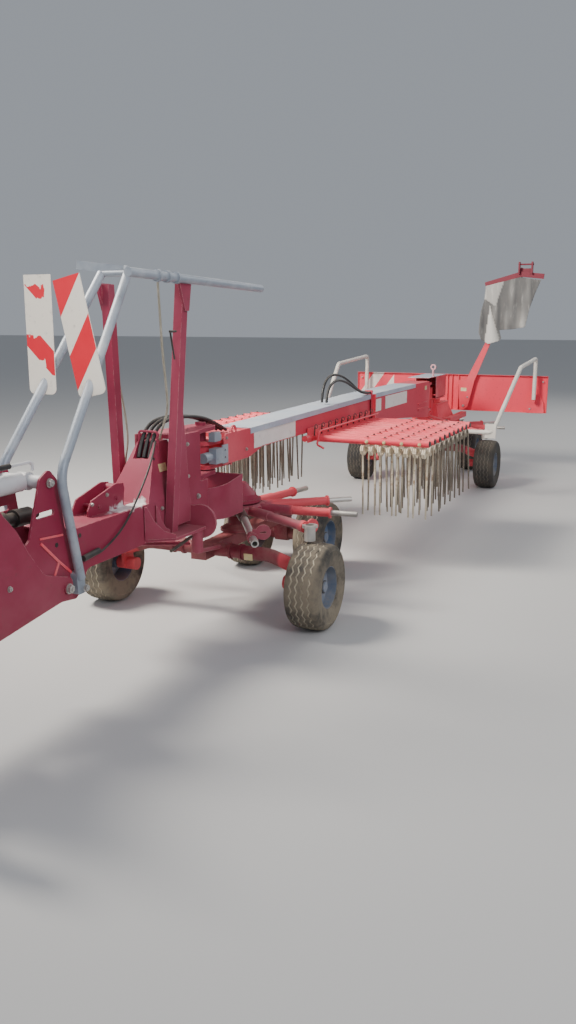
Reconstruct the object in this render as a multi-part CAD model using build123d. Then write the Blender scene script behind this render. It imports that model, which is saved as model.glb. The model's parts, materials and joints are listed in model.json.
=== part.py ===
from build123d import *
import math
import os

# Rotary rake with two rotors in tandem, parked for road travel, all sizes in millimetres
# Modelling frame: X forward, Y to the machine's left, Z up, the ground at Z = 0,
# and X = 0 at the front wheels' axle, which is also under the front swing hinge

# Running gear
tyre_diameter = 406.0
tyre_width = 165.0
rim_diameter = 216.0
rim_wall = 6.0
disc_dish = 18.0
hub_diameter = 68.0
hub_length = 84.0
spindle_diameter = 40.0
spindle_gap = 1.0
outer_track = 1120.0
yoke_setback = 50.0
inner_track = 432.0
inner_setback = 950.0
carriage_spacing = 3920.0
wheel_clearance = 8.0

# Carriage under each rotor
yoke_diameter = 65.0
yoke_height = 325.0
yoke_drop = 42.0
yoke_bend = 330.0
yoke_radius = 150.0
yoke_clamps = (120.0, 177.0)
clamp_width = 14.0
stub_diameter = 63.0
stub_length = 105.0
knuckle_plate = 12.0
spine_width = 80.0
spine_height = 60.0
column_diameter = 80.0

# Rotors
rotor_setback = 360.0
rotor_height = 471.0
rotor_angles = (34, 60, 96, 132, 168, 204, 240, 276, 312, 348)
rotor_reach = 632.0
rotor_hub_diameter = 290.0
rotor_hub_height = 50.0
rotor_root_diameter = 50.0
rotor_root_reach = 300.0
rotor_tube_diameter = 43.0
rotor_tube_reach = 500.0
rotor_pin_diameter = 27.0
pin_bore = 17.0
pin_bore_depth = 30.0
collar_diameter = 56.0
collar_width = 9.0
rotor_gap = 8.0
latch_reach = 560.0
latch_height = 466.0
latch_offset = 50.0
latch_diameter = 70.0
latch_thickness = 8.0
bent_pin_diameter = 36.0
bent_pin_start = 290.0
bent_pin_reach = 646.0
bent_pin_height = 434.0
socket_diameter = 52.0
socket_reach = 612.0
socket_levels = (414.0, 488.0)

# Gear housings and the bowl round the drive joint
dome_diameter = 214.0
dome_height = 92.0
dome_flange = 18.0
flange_thickness = 14.0
bowl_diameter = 304.0
bowl_wall = 6.0
bowl_back = -128.0
bowl_front_height = 138.0
bowl_rear_height = 192.0

# Front frame
frame_half_width = 100.0
frame_plate = 8.0
frame_bottom = 517.0
frame_top = 677.0
frame_tail = 120.0
web_tail = 185.0
web_front = 400.0
pivot_x = 1187.0
pivot_z = 481.0
pivot_pin_diameter = 40.0
foot_bolt_x = 1120.0
foot_bolt_z = 469.0
cylinder_pin_x = 1240.0
cylinder_pin_z = 866.0
cylinder_pin_diameter = 30.0
tower_foot = (350.0, 620.0)
tower_head = (365.0, 470.0)
tower_head_half_width = 42.0
hose_pocket = (442.0, 560.0)
hose_pocket_half = 37.0
hose_pocket_floor = 838.0
tower_top = 905.0
ring_rod = 10.0
pin_gap = 0.08

# Swing hinges, one at each end of the beam
hinge_pin_diameter = 50.0
knuckle_diameter = 110.0
sleeve_diameter = 76.0
ear_thickness = 18.0
ear_radius = 68.0
hinge_gap = 5.0
front_hinge_low = 700.0
front_hinge_high = 925.0
upper_lug = (835.0, 853.0)
rear_hinge_low = 640.0
rear_hinge_high = 880.0

# Headstock and hitch
cheek_gap = 6.0
cheek_plate = 10.0
hitch_x = 1900.0
hitch_z = 450.0
hitch_half_span = 410.0
hitch_pin_diameter = 36.0
hitch_tube = 64.0
link_pin_diameter = 28.0
link_pin_length = 70.0
link_flange = 12.0
crank_top_x = 1625.0
barrel_diameter = 66.0
barrel_end = 1535.0
rod_diameter = 35.0
rod_eye_play = 7.0
pipe_diameter = 12.0
pto_diameter = 35.0
pto_core = 30.0
pto_spline = 90.0
pto_front = (1690.0, 760.0)
pto_rear = (1190.0, 742.0)

# Posts, boards and guard rails
post_size = (44.0, 38.0)
post_foot = (485.0, 121.0)
post_head = (445.0, 177.0)
outrigger_y = 170.0
post_foot_z = 535.0
post_top_z = 1548.0
foot_plate = 12.0
disc_x = 330.0
disc_y = 182.0
disc_z = 555.0
disc_radius = 74.0
rail_diameter = 34.0
rail_ring_diameter = 46.0
rail_rings = (672.0, 605.0, 536.0)
leg_foot_y = 128.0
leg_bend = (1210.0, 890.0)
leg_top = (650.0, 60.0, 1580.0)
board_width = 118.0
board_height = 425.0
board_thickness = 3.0
board_place = 365.0
board_hang = 34.0
board_corner = 22.0
board_offset = 6.0
board_roll = (12.7, 0.0)
top_rail_ends = (870.0, -230.0)
rail_y = 205.0
rail_seat = 3.0
rail_rise = 0.024

# Beam
beam_half_width = 80.0
hinge_plate = 8.0
beam_front = -70.0
beam_start = -330.0
beam_joint = -2250.0
beam_top = (873.0, 900.0)
rack_drop = 165.0
beam_bottom = (765.0, 778.0)
box_end = -3780.0
box_bottom = (730.0, 600.0)
box_half_width = 86.0
cover_start = -350.0
cover_end = -3350.0
cover_thickness = 4.0
cover_sheet = 2.0
cover_skirt = 26.0
ring_x = -170.0
ring_z = 884.0
ring_radius = 30.0
ring_hole = 14.0

# Stowed tine arms
arm_count = 10
arm_pitch = 112.0
first_arm_x = -1150.0
arm_diameter = 40.0
arm_inner = 128.0
arm_outer = 790.0
spigot_diameter = 30.0
spigot_depth = 60.0
retainer_lift = 45.0
retainer_diameter = 12.0
tines_per_arm = 4
tine_spacing = 102.0
tine_outer_offset = 26.0
coil_diameter = 46.0
coil_width = 24.0
coil_pair = 50.0
tine_length = 395.0
tine_size = 9.0
tine_tip_size = 6.0

# Rear head, panel, guards and swath cloth
head_cover_x = (-4330.0, -3750.0)
head_side_x = (-4330.0, -3990.0)
head_cover_z = (745.0, 925.0)
head_half_width = 88.0
head_sheet = 4.0
eye_x = -3950.0
eye_y = 72.0
eye_z = 1008.0
panel_x = -4850.0
panel_half_width = 910.0
panel_bottom = 565.0
panel_top = 900.0
panel_sheet = 4.0
panel_lip = 30.0
panel_ribs = (-14.0, 29.0, 92.0)
guard_inset = 110.0
guard_top_front = (-3980.0, 1018.0)
guard_top_rear = (-4780.0, 1058.0)
guard_foot = (-4768.0, 690.0)
clamp_inset = 210.0
clamp_x = -3320.0
clamp_z = 550.0
clamp_bar = 220.0
arm_root_left = 600.0
arm_root_right = 560.0
swath_pivot = (150.0, 610.0)
swath_pin_diameter = 24.0
swath_bar_thickness = 12.0
cloth_thickness = 30.0

# Hoses, cable and ropes
hose_diameter = 16.0
cable_diameter = 8.0
rope_diameter = 9.0


# Shape helpers
def prism(points, axis, start, stop, radius=0.0):
    """Closed outline, given in the two other axes in X, Y, Z order, pushed along one axis."""
    planes = {"x": Plane.YZ, "y": Plane.XZ, "z": Plane.XY}
    places = {"x": (start, 0, 0), "y": (0, stop, 0), "z": (0, 0, start)}
    outline = FilletPolyline(*points, radius=radius, close=True)
    face = make_face(planes[axis] * outline)
    return Pos(*places[axis]) * extrude(face, amount=stop - start, dir=planes[axis].z_dir)


def block(x, y, z):
    """Box between pairs of X, Y and Z."""
    middle = Pos((x[0] + x[1]) / 2, (y[0] + y[1]) / 2, (z[0] + z[1]) / 2)
    return middle * Box(x[1] - x[0], y[1] - y[0], z[1] - z[0])


def rod(start, stop, diameter):
    """Round bar between two points."""
    run = Vector(*stop) - Vector(*start)
    plane = Plane(origin=start, z_dir=run)
    return extrude(plane * Circle(diameter / 2), amount=run.length)


def cross_rod(x, z, half_length, diameter):
    """Round bar across the machine, as long on both sides."""
    return rod((x, -half_length, z), (x, half_length, z), diameter)


def bent_tube(points, radii, diameter):
    """Round tube along straight runs joined by arcs."""
    path = FilletPolyline(*points, radius=radii)
    section = Plane(origin=path @ 0, z_dir=path % 0) * Circle(diameter / 2)
    return sweep(section, path=path)


def flat_bar(start, stop, width, thickness, across):
    """Flat bar between two points, its width square to the direction that it is thin in."""
    run = Vector(*stop) - Vector(*start)
    plane = Plane(origin=start, x_dir=across, z_dir=run)
    return extrude(plane * Rectangle(thickness, width), amount=run.length)


def upright_plate(start, stop, outline, thickness):
    """Standing plate from one plan point towards another, its outline in distance and height."""
    run = Vector(stop[0] - start[0], stop[1] - start[1], 0).normalized()
    plane = Plane(origin=(start[0], start[1], 0), x_dir=run, z_dir=(run.Y, -run.X, 0))
    return extrude(plane * make_face(Polyline(*outline, close=True)), amount=thickness)


def turned(points, x, y, z=0.0):
    """Solid of revolution about a vertical axis from points of radius and height."""
    face = make_face(Plane.XZ * Polyline(*points, close=True))
    return Pos(x, y, z) * revolve(face, Axis.Z)


def mirrored(shape):
    """The same shape on the machine's other side."""
    return mirror(shape, about=Plane.XZ)


def both_sides(shape):
    return shape + mirrored(shape)


def pieces(*shapes):
    """One node of solids that don't touch."""
    return Compound(children=[solid for shape in shapes for solid in shape.solids()])


# Wheels
tyre_radius = tyre_diameter / 2
rim_radius = rim_diameter / 2
bead_half_width = tyre_width * 0.38
disc_face = 22.0
disc_thickness = 8.0


def wheel_axis_solid(points):
    """Revolve points of radius and offset about the wheel's own Y axis."""
    return revolve(make_face(Polyline(*points, close=True)), Axis.Y)


def tyre():
    half = tyre_width / 2
    seat = rim_radius - rim_wall
    upper = [(seat, bead_half_width), (rim_radius + 6, bead_half_width), (rim_radius + 14, bead_half_width + 10)]
    upper += [(rim_radius + 42, half), (tyre_radius - 14, half - 3), (tyre_radius, half - 24)]
    lower = [(radius, -offset) for radius, offset in reversed(upper)]
    return wheel_axis_solid(upper + lower)


def rim():
    """Dished disc wheel, its outer face towards +Y."""
    seat = rim_radius - rim_wall
    inner = seat - rim_wall
    lip = bead_half_width + rim_wall
    barrel = [(seat, bead_half_width), (rim_radius + 4, bead_half_width), (rim_radius + 4, lip), (inner, lip)]
    outline = barrel + [(radius, -offset) for radius, offset in reversed(barrel)]
    dished = disc_face - disc_dish
    disc = [(inner, disc_face), (inner - 30, dished), (hub_diameter / 2, dished)]
    disc += [(hub_diameter / 2, dished - disc_thickness), (inner - 24, dished - disc_thickness)]
    disc += [(inner, disc_face - disc_thickness - 4)]
    bore = spindle_diameter / 2 + spindle_gap
    hub_out = hub_length / 2
    cap = [(0, hub_out + 14), (bore + 4, hub_out + 10), (bore + 6, hub_out), (hub_diameter / 2, hub_out)]
    cap += [(hub_diameter / 2, -hub_out), (bore, -hub_out), (bore, hub_out + 3), (0, hub_out + 3)]
    return wheel_axis_solid(outline) + wheel_axis_solid(disc) + wheel_axis_solid(cap)


def at_wheel(shape, x, y):
    """Put a wheel piece at its place, its outer face away from the machine's middle."""
    turn = Rot(0, 0, 0) if y > 0 else Rot(0, 0, 180)
    return Pos(x, y, tyre_radius) * turn * shape


# Carriage: yoke tube, spine, axle stubs and the column that the rotor turns on
outer_y = outer_track / 2
inner_y = inner_track / 2
spindle_end = hub_length / 2 - 4
stub_face = outer_y - hub_length / 2 - wheel_clearance
knuckle_y = outer_y - tyre_width / 2 - wheel_clearance - knuckle_plate
hub_low = rotor_height - rotor_hub_height / 2
hub_high = rotor_height + rotor_hub_height / 2
housing_low = hub_high + rotor_gap
spine_top = yoke_height + spine_height / 2 - 4


def yoke(x):
    axle = x - yoke_setback
    ends = [(axle, -knuckle_y, yoke_height - yoke_drop), (axle, -yoke_bend, yoke_height)]
    ends += [(axle, yoke_bend, yoke_height), (axle, knuckle_y, yoke_height - yoke_drop)]
    return bent_tube(ends, yoke_radius, yoke_diameter)


def carriage(x):
    shape = yoke(x)
    axle = x - yoke_setback
    for y in yoke_clamps:
        shape += both_sides(rod((axle, y, yoke_height), (axle, y + clamp_width, yoke_height), yoke_diameter + 12))
    plate_top = yoke_height + 5
    plate = [(axle - 48, tyre_radius - 20), (axle + 48, tyre_radius - 20)]
    plate += [(axle + 40, plate_top), (axle - 40, plate_top)]
    end_plate = prism(plate, "y", knuckle_y, knuckle_y + knuckle_plate, 18.0)
    stub = rod((axle, stub_face - stub_length, tyre_radius), (axle, stub_face, tyre_radius), stub_diameter)
    spindle = rod((axle, stub_face, tyre_radius), (axle, outer_y + spindle_end, tyre_radius), spindle_diameter)
    shape += both_sides(end_plate + stub + spindle)
    rear = x - inner_setback
    half = spine_width / 2
    shape += block((rear - 30, x + 45), (-half, half), (spine_top - spine_height, spine_top))
    drop = [(rear - 30, tyre_radius - 34), (rear + 30, tyre_radius - 34)]
    drop += [(rear + 60, spine_top - 20), (rear - 30, spine_top - 20)]
    shape += prism(drop, "y", -half, half, 8.0)
    shape += Pos(rear, 0, 0) * cross_rod(0, tyre_radius, inner_y - hub_length / 2 - wheel_clearance, stub_diameter)
    shape += Pos(rear, 0, 0) * cross_rod(0, tyre_radius, inner_y + spindle_end, spindle_diameter)
    boss = column_diameter / 2 + 6
    foot = [(0, spine_top), (84, spine_top), (84, spine_top + 14), (boss, spine_top + 34)]
    foot += [(boss, hub_low - rotor_gap), (column_diameter / 2, hub_low - rotor_gap)]
    foot += [(column_diameter / 2, housing_low), (0, housing_low)]
    return shape + turned(foot, x - rotor_setback, 0)


# Rotor: hub ring, control tubes and the pins that the tine arms slide on
def arm_turn(x, angle):
    """Turns a piece made along +X from the rotor's axis to one arm's place."""
    return Pos(x - rotor_setback, 0, rotor_height) * Rot(0, 0, angle)


def bent_pin(diameter, start, stop):
    """Length of the pin that slopes down, between two distances from the rotor's axis."""
    fall = (bent_pin_height - rotor_height) / (bent_pin_reach - bent_pin_start)
    ends = [(reach, 0, (reach - bent_pin_start) * fall) for reach in (start, stop)]
    return rod(*ends, diameter)


def latch(clamp):
    """Round slotted latch plate beside an arm, carried by a clamp ring."""
    lift = latch_height - rotor_height
    thick = (latch_reach, latch_reach + latch_thickness)
    plate = rod((thick[0], latch_offset, lift), (thick[1], latch_offset, lift), latch_diameter)
    slot = block(thick, (latch_offset - 14, latch_offset + 14), (lift - 4, lift + 4))
    neck = block(thick, (0, latch_offset - 20), (lift - 12, lift + 16))
    return plate - slot + neck + clamp


def rotor(x):
    bore = column_diameter / 2 + rotor_gap
    rim_edge = rotor_hub_diameter / 2
    root = rim_edge - 12
    profile = [(bore, hub_low), (rim_edge - 20, hub_low), (rim_edge, hub_low + 10), (rim_edge, hub_high - 10)]
    profile += [(rim_edge - 20, hub_high), (bore, hub_high)]
    shape = turned(profile, x - rotor_setback, 0)
    arm = rod((root, 0, 0), (rotor_tube_reach, 0, 0), rotor_tube_diameter)
    arm += rod((root, 0, 0), (rotor_root_reach, 0, 0), rotor_root_diameter)
    arm += rod((rotor_tube_reach - collar_width, 0, 0), (rotor_tube_reach, 0, 0), collar_diameter)
    short_arm = rod((root, 0, 0), (bent_pin_start + 20, 0, 0), rotor_root_diameter)
    short_arm -= bent_pin(bent_pin_diameter, bent_pin_start, bent_pin_reach)
    long_arm = rod((root, 0, 0), (rotor_root_reach, 0, 0), rotor_root_diameter)
    long_arm += rod((root, 0, 0), (latch_reach + 30, 0, 0), rotor_tube_diameter)
    long_arm += latch(rod((latch_reach - 12, 0, 0), (latch_reach + 20, 0, 0), rotor_tube_diameter + 12))
    long_arm -= rod((socket_reach, 0, -90), (socket_reach, 0, 90), socket_diameter)
    shape += arm_turn(x, rotor_angles[0]) * short_arm + arm_turn(x, rotor_angles[1]) * long_arm
    for angle in rotor_angles[2:]:
        shape += arm_turn(x, angle) * arm
    clamp = bent_pin(bent_pin_diameter + 14, latch_reach - 14, latch_reach + 24)
    loose = latch(clamp) - bent_pin(bent_pin_diameter, bent_pin_start, bent_pin_reach)
    return pieces(shape, arm_turn(x, rotor_angles[0]) * loose)


def rotor_pins(x):
    bore = rod((rotor_reach - pin_bore_depth, 0, 0), (rotor_reach, 0, 0), pin_bore)
    pin = rod((rotor_tube_reach, 0, 0), (rotor_reach, 0, 0), rotor_pin_diameter) - bore
    sloping = bent_pin(bent_pin_diameter, bent_pin_start, bent_pin_reach)
    sloping -= bent_pin(bent_pin_diameter - 12, bent_pin_reach - 2 * pin_bore_depth, bent_pin_reach)
    ends = [(socket_reach, 0, level - rotor_height) for level in socket_levels]
    socket = rod(*ends, socket_diameter)
    socket += rod(ends[1], (socket_reach, 0, ends[1][2] - 12), socket_diameter + 20)
    socket -= rod(*ends, socket_diameter - 12)
    socket -= rod((latch_reach - 12, 0, 0), (latch_reach + 20, 0, 0), rotor_tube_diameter + 12)
    socket -= rod((latch_reach - 12, 0, 0), (latch_reach + 30, 0, 0), rotor_tube_diameter)
    shapes = [arm_turn(x, rotor_angles[0]) * sloping, arm_turn(x, rotor_angles[1]) * socket]
    return pieces(*shapes, *[arm_turn(x, angle) * pin for angle in rotor_angles[2:]])


# Gear housing over each rotor
def gear_dome(x):
    edge = dome_diameter / 2
    base = housing_low
    profile = [(0, base), (edge + dome_flange, base), (edge + dome_flange, base + flange_thickness)]
    profile += [(edge, base + flange_thickness), (edge - 6, base + 38), (edge - 42, base + dome_height - 14)]
    profile += [(edge - 52, base + dome_height), (0, base + dome_height)]
    return turned(profile, x - rotor_setback, 0)


def bowl_body(edge, low, high, back):
    """Half round in front and straight at the back, seen from above."""
    whole = Pos(0, 0, (low + high) / 2) * Cylinder(edge, high - low)
    front = whole & block((0, edge), (-edge, edge), (low, high))
    return front + block((back, 0), (-edge, edge), (low, high))


def swing_bowl():
    """Open guard round the drive joint under the front hinge, its rim rising to the rear."""
    edge = bowl_diameter / 2
    top = housing_low + bowl_rear_height + 40
    bowl = bowl_body(edge, housing_low, top, bowl_back)
    bowl -= bowl_body(edge - bowl_wall, housing_low + bowl_wall, top, bowl_back + bowl_wall)
    low = housing_low + bowl_front_height
    high = housing_low + bowl_rear_height
    reach = edge + 40
    cut = [(-reach, high), (reach, low), (reach, top + 40), (-reach, top + 40)]
    return bowl - prism(cut, "y", -reach, reach)


def front_housing():
    bridge_x = (-rotor_setback + 60, bowl_back)
    bridge = block(bridge_x, (-62, 62), (housing_low, housing_low + 60))
    return gear_dome(0) + bridge


# Hinge pieces: ears above and below, lugs or a knuckle between them, and the pin
def ear(x, bottom, root, half_width):
    """Plate from the root to a round end at the pin, which is fused into it."""
    tongue = [(root, -half_width), (root, half_width), (x, ear_radius), (x, -ear_radius)]
    plate = prism(tongue, "z", bottom, bottom + ear_thickness)
    return plate + Pos(x, 0, bottom + ear_thickness / 2) * Cylinder(ear_radius, ear_thickness)


def ears(x, low, high, root, half_width):
    return ear(x, low, root, half_width) + ear(x, high - ear_thickness, root, half_width)


def lug(x, low, high, root, half_width):
    """Plate from the root to a round end that turns on the pin."""
    edge = knuckle_diameter / 2
    plate = prism([(root, -half_width), (root, half_width), (x, edge), (x, -edge)], "z", low, high)
    return plate + Pos(x, 0, (low + high) / 2) * Cylinder(edge, high - low)


def knuckle(x, low, high):
    """Sleeve that fits between the ears round the pin."""
    inside = (low + ear_thickness + hinge_gap, high - ear_thickness - hinge_gap)
    bore = hinge_pin_diameter / 2 + pin_gap
    edge = knuckle_diameter / 2
    return turned([(bore, inside[0]), (edge, inside[0]), (edge, inside[1]), (bore, inside[1])], x, 0)


def hinge_pin(x, low, high):
    return rod((x, 0, low - 6), (x, 0, high + 16), hinge_pin_diameter)


def hinge_bore(x, low, high):
    return rod((x, 0, low), (x, 0, high), hinge_pin_diameter + 2 * pin_gap)


# Front frame: lug for the headstock, crank bracket and long web on each side, with the tower
cheek_inner = frame_half_width + cheek_gap
cheek_outer = cheek_inner + cheek_plate
pivot_end = cheek_outer + 8
side_outline = [(1068, 452), (1118, 422), (1222, 436), (1376, 671), (1352, 690), (1282, 886)]
side_outline += [(1232, 912), (1192, 870), (1160, frame_top), (frame_tail, frame_top)]
side_outline += [(frame_tail, frame_bottom), (1056, frame_bottom)]
side_radii = [26, 26, 20, 12, 12, 22, 22, 22, 30, 0, 0, 40]
side_slot = [(1218, 752), (1312, 752), (1312, 772), (1218, 772)]
web_outline = [(frame_tail, frame_bottom), (web_front, frame_bottom), (web_front, front_hinge_high)]
web_outline += [(web_tail, front_hinge_high), (web_tail, front_hinge_low), (frame_tail, front_hinge_low)]
latch_box_outline = [(690, frame_top), (690, 770), (742, 776), (905, 736), (930, 700), (930, frame_top)]
lug_ribs = [(1216, 52, 566), (1190, 78, 536)]


def side_plate(inner):
    plate = prism(side_outline, "y", inner, inner + frame_plate, side_radii)
    return plate - prism(side_slot, "y", inner, inner + frame_plate, 9.0)


def tower():
    foot_middle = (tower_foot[0] + tower_foot[1]) / 2
    head_middle = (tower_head[0] + tower_head[1]) / 2
    foot = Pos(foot_middle, 0, frame_top) * Rectangle(tower_foot[1] - tower_foot[0], 2 * frame_half_width)
    head = Pos(head_middle, 0, tower_top) * Rectangle(tower_head[1] - tower_head[0], 2 * tower_head_half_width)
    return loft([foot, head])


def latch_box():
    """Small slanting channel on top of the frame, with its cross tube and bolts."""
    shape = prism(latch_box_outline, "y", -46, -40) + prism(latch_box_outline, "y", 24, 30)
    shape += rod((706, -46, 746), (706, 30, 746), 44)
    for x, z in ((742, 716), (860, 706)):
        shape += rod((x, -46, z), (x, 36, z), 14)
    return shape


def front_frame():
    inner = frame_half_width - frame_plate
    shape = both_sides(side_plate(inner))
    shape += block((frame_tail, 1050), (-inner, inner), (frame_bottom, frame_bottom + frame_plate))
    shape += block((600, 1150), (-inner, inner), (frame_top - frame_plate, frame_top))
    slant = (0.82, 0, -0.57)
    shape += flat_bar((1222, 0, 480), (1352, 0, 672), 2 * inner, frame_plate, slant)
    for x, y, z in lug_ribs:
        rib = flat_bar((x, y, z), (x + 72, y, z + 106), 44, 5, (0, 1, 0))
        shape += both_sides(rib)
    shape += tower() + latch_box()
    shape += both_sides(prism(web_outline, "y", inner, frame_half_width))
    shape += cross_rod(pivot_x, pivot_z, pivot_end, pivot_pin_diameter)
    shape += cross_rod(cylinder_pin_x, cylinder_pin_z, frame_half_width + 6, cylinder_pin_diameter)
    shape -= block(hose_pocket, (-hose_pocket_half, hose_pocket_half), (hose_pocket_floor, tower_top))
    ring = [(452, -44, 866), (452, -44, 948), (452, 48, 948), (452, 48, 864)]
    shape += bent_tube(ring, [14.0, 14.0], ring_rod)
    bowl_height = front_hinge_low - housing_low
    bowl_room = Pos(0, 0, housing_low + bowl_height / 2) * Cylinder(bowl_diameter / 2, bowl_height)
    return shape - bowl_room - swing_ears()


def swing_ears():
    """The tower's two ears with the pin that the beam swings on."""
    shape = ears(0, front_hinge_low, front_hinge_high, tower_head[0], frame_half_width)
    return shape + hinge_pin(0, front_hinge_low, front_hinge_high)


# Posts on their outriggers, with the left one's fin, the round gussets and their stays
outrigger_outline = [(0, 535), (0, 672), (12, 668), (38, 612), (78, 568), (126, 550), (126, 535)]
second_outline = [(0, 535), (0, 662), (8, 652), (24, 600), (46, 562), (66, 552), (66, 535)]
fin_outline = [(450, 545), (434, 545), (396, 371), (356, 165), (338, 105), (338, 20), (466, 20), (460, 200)]
rail_bracket_outline = [(430, 1440), (460, 1440), (502, 1552), (408, 1552)]
foot_outline = [(655, 100), (575, 198), (425, 205), (330, 205), (330, 100)]


def posts():
    foot = Vector(*post_foot, post_foot_z)
    run = Vector(*post_head, post_top_z) - foot
    section = Plane(origin=foot, z_dir=run, x_dir=(1, 0, run.X / -run.Z))
    shape = extrude(section * Rectangle(*post_size), amount=run.length)
    shape += prism(rail_bracket_outline, "y", post_head[1] + 12, post_head[1] + post_size[1] / 2 + 4) - top_rail()
    shape += prism(foot_outline, "z", post_foot_z - foot_plate, post_foot_z)
    shape += upright_plate((655, 100), (575, 198), outrigger_outline, 8)
    shape += upright_plate((572, 100), (509, 128), second_outline, 8)
    disc = rod((disc_x, disc_y, disc_z), (disc_x + 12, disc_y, disc_z), 2 * disc_radius)
    disc += block((disc_x, disc_x + 12), (frame_half_width, disc_y), (frame_bottom, disc_z + disc_radius - 6))
    shape += disc
    shape += rod((disc_x + 22, outrigger_y, post_foot_z), (disc_x + 22, outrigger_y, 420), 50)
    brace = rod((disc_x + 22, outrigger_y, 421), (40 - yoke_setback, 84, 350), 20)
    shape += brace - yoke(0)
    slope = Vector(0, run.Y, run.Z).normalized()
    side = Plane(origin=(0, post_foot[1], post_foot_z), x_dir=(1, 0, 0), z_dir=(0, -slope.Z, slope.Y))
    fin = extrude(side * make_face(Polyline(*fin_outline, close=True)), amount=-8)
    return pieces(shape + fin, mirrored(shape))


# Guard legs with the warning boards on them
leg_start = Vector(leg_bend[0], leg_foot_y, leg_bend[1])
leg_direction = (Vector(*leg_top) - leg_start).normalized()
board_fixing = leg_start + leg_direction * board_place
lug_foot = [(foot_bolt_x - 24, foot_bolt_z - 24), (foot_bolt_x + 22, foot_bolt_z - 24)]
lug_foot += [(foot_bolt_x + 26, foot_bolt_z + 60), (foot_bolt_x - 16, foot_bolt_z + 60)]
cross_bar = [(656, -170, 1615), (656, 50, 1591), (842, 186, 1577)]


def guard_leg():
    foot = (foot_bolt_x + 4, leg_foot_y, foot_bolt_z + 34)
    bend = (leg_bend[0], leg_foot_y, leg_bend[1])
    leg = bent_tube([foot, bend, leg_top], [120.0], rail_diameter)
    return leg + prism(lug_foot, "y", frame_half_width, leg_foot_y, 10.0)


def guard_hoop():
    shape = both_sides(guard_leg())
    shape += rod((leg_top[0], -leg_top[1], leg_top[2]), leg_top, 26)
    for start, stop in zip(cross_bar, cross_bar[1:]):
        shape += flat_bar(start, stop, 34, 6, (1, 0, 0) if start[0] == stop[0] else (0.6, -0.8, 0))
    return shape - top_rail()


def warning_board(side):
    """Plate that faces forward, with the leg through its lower end."""
    roll = math.radians(board_roll[side < 0])
    across = Vector(0, math.cos(roll), math.sin(roll))
    origin = (board_fixing.X, side * (board_fixing.Y + board_offset), board_fixing.Z)
    plane = Plane(origin=origin, z_dir=(1, 0, 0), x_dir=across)
    half = board_width / 2
    top = board_height - board_hang
    outline = [(-half, -board_hang), (half, -board_hang), (half, top), (-half, top)]
    face = make_face(FilletPolyline(*outline, radius=[board_corner, board_corner, 3.0, 3.0], close=True))
    leg = guard_leg()
    return extrude(plane * face, amount=board_thickness / 2, both=True) - (leg if side > 0 else mirrored(leg))


def rail_level(x):
    """Height of the top rail's middle line at a place along it."""
    return post_top_z + rail_diameter / 2 - rail_seat + rail_rise * (x - post_head[0])


def rail_rod(start, stop, diameter):
    return rod((start, rail_y, rail_level(start)), (stop, rail_y, rail_level(stop)), diameter)


def top_rail():
    shape = rail_rod(*top_rail_ends, rail_diameter)
    for x in rail_rings:
        shape += rail_rod(x - 8, x + 8, rail_ring_diameter)
    return shape


# Headstock, lifting cylinder, hitch beam and drive shaft
cheek_outline = [(pivot_x - 33, pivot_z - 33), (1300, 432), (1640, 392), (1640, 560), (1700, 660)]
cheek_outline += [(1700, 930), (1600, 952), (1486, 800), (1430, 740), (1377, 653), (1305, 560)]
cheek_outline += [(pivot_x - 33, pivot_z + 33)]
cheek_radii = [30, 30, 20, 30, 30, 20, 30, 30, 30, 60, 60, 30]
headstock_plate = 12.0
tongue_low = hitch_z - 62
tongue_high = hitch_z + 48
tongue_plate = 14.0
tongue_end = 44.0
hitch_sleeve = (40.0, 84.0)
pto_sleeves = ((40.0, 120.0, 62.0), (170.0, 250.0, 62.0), (110.0, 180.0, 44.0), (250.0, 400.0, 48.0))
pipe_route = [(1195, 0, 895), (1195, 0, 926), (1506, 0, 926), (1506, 0, 896)]


def headstock():
    cheek = prism(cheek_outline, "y", cheek_inner, cheek_outer, cheek_radii)
    shape = both_sides(cheek) - cross_rod(pivot_x, pivot_z, pivot_end, pivot_pin_diameter + 2 * pin_gap)
    shape += block((1500, 1640), (-cheek_inner, cheek_inner), (404, 404 + headstock_plate))
    shape += block((1640 - headstock_plate, 1640), (-cheek_inner, cheek_inner), (404, 560))
    shape += cross_rod(crank_top_x, cylinder_pin_z, cheek_outer + 6, cylinder_pin_diameter)
    root = 1640 - headstock_plate
    for bottom in (tongue_low, tongue_high):
        tongue = [(root, -cheek_inner), (root, cheek_inner), (hitch_x, tongue_end), (hitch_x, -tongue_end)]
        shape += prism(tongue, "z", bottom, bottom + tongue_plate)
        shape += Pos(hitch_x, 0, bottom + tongue_plate / 2) * Cylinder(tongue_end, tongue_plate)
    return shape + rod((hitch_x, 0, tongue_low - 8), (hitch_x, 0, tongue_high + 26), hitch_pin_diameter)


def hitch_beam():
    half = hitch_tube / 2
    inner = hitch_half_span - link_pin_length
    low = hitch_z - hitch_sleeve[1] / 2
    shape = Pos(hitch_x, 0, hitch_z) * Cylinder(hitch_sleeve[0], hitch_sleeve[1])
    tube = block((hitch_x - half, hitch_x + half), (0, inner), (hitch_z - half, hitch_z + half))
    tube += block((hitch_x - 40, hitch_x + 40), (inner, inner + link_flange), (hitch_z - 46, hitch_z + 46))
    tube += rod((hitch_x, inner + link_flange, hitch_z), (hitch_x, hitch_half_span, hitch_z), link_pin_diameter)
    shape += both_sides(tube)
    bore = hitch_pin_diameter + 2 * pin_gap
    return shape - rod((hitch_x, 0, low - 10), (hitch_x, 0, low + hitch_sleeve[1] + 10), bore)


def eye(x, z, diameter, width):
    return cross_rod(x, z, width / 2, diameter)


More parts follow.
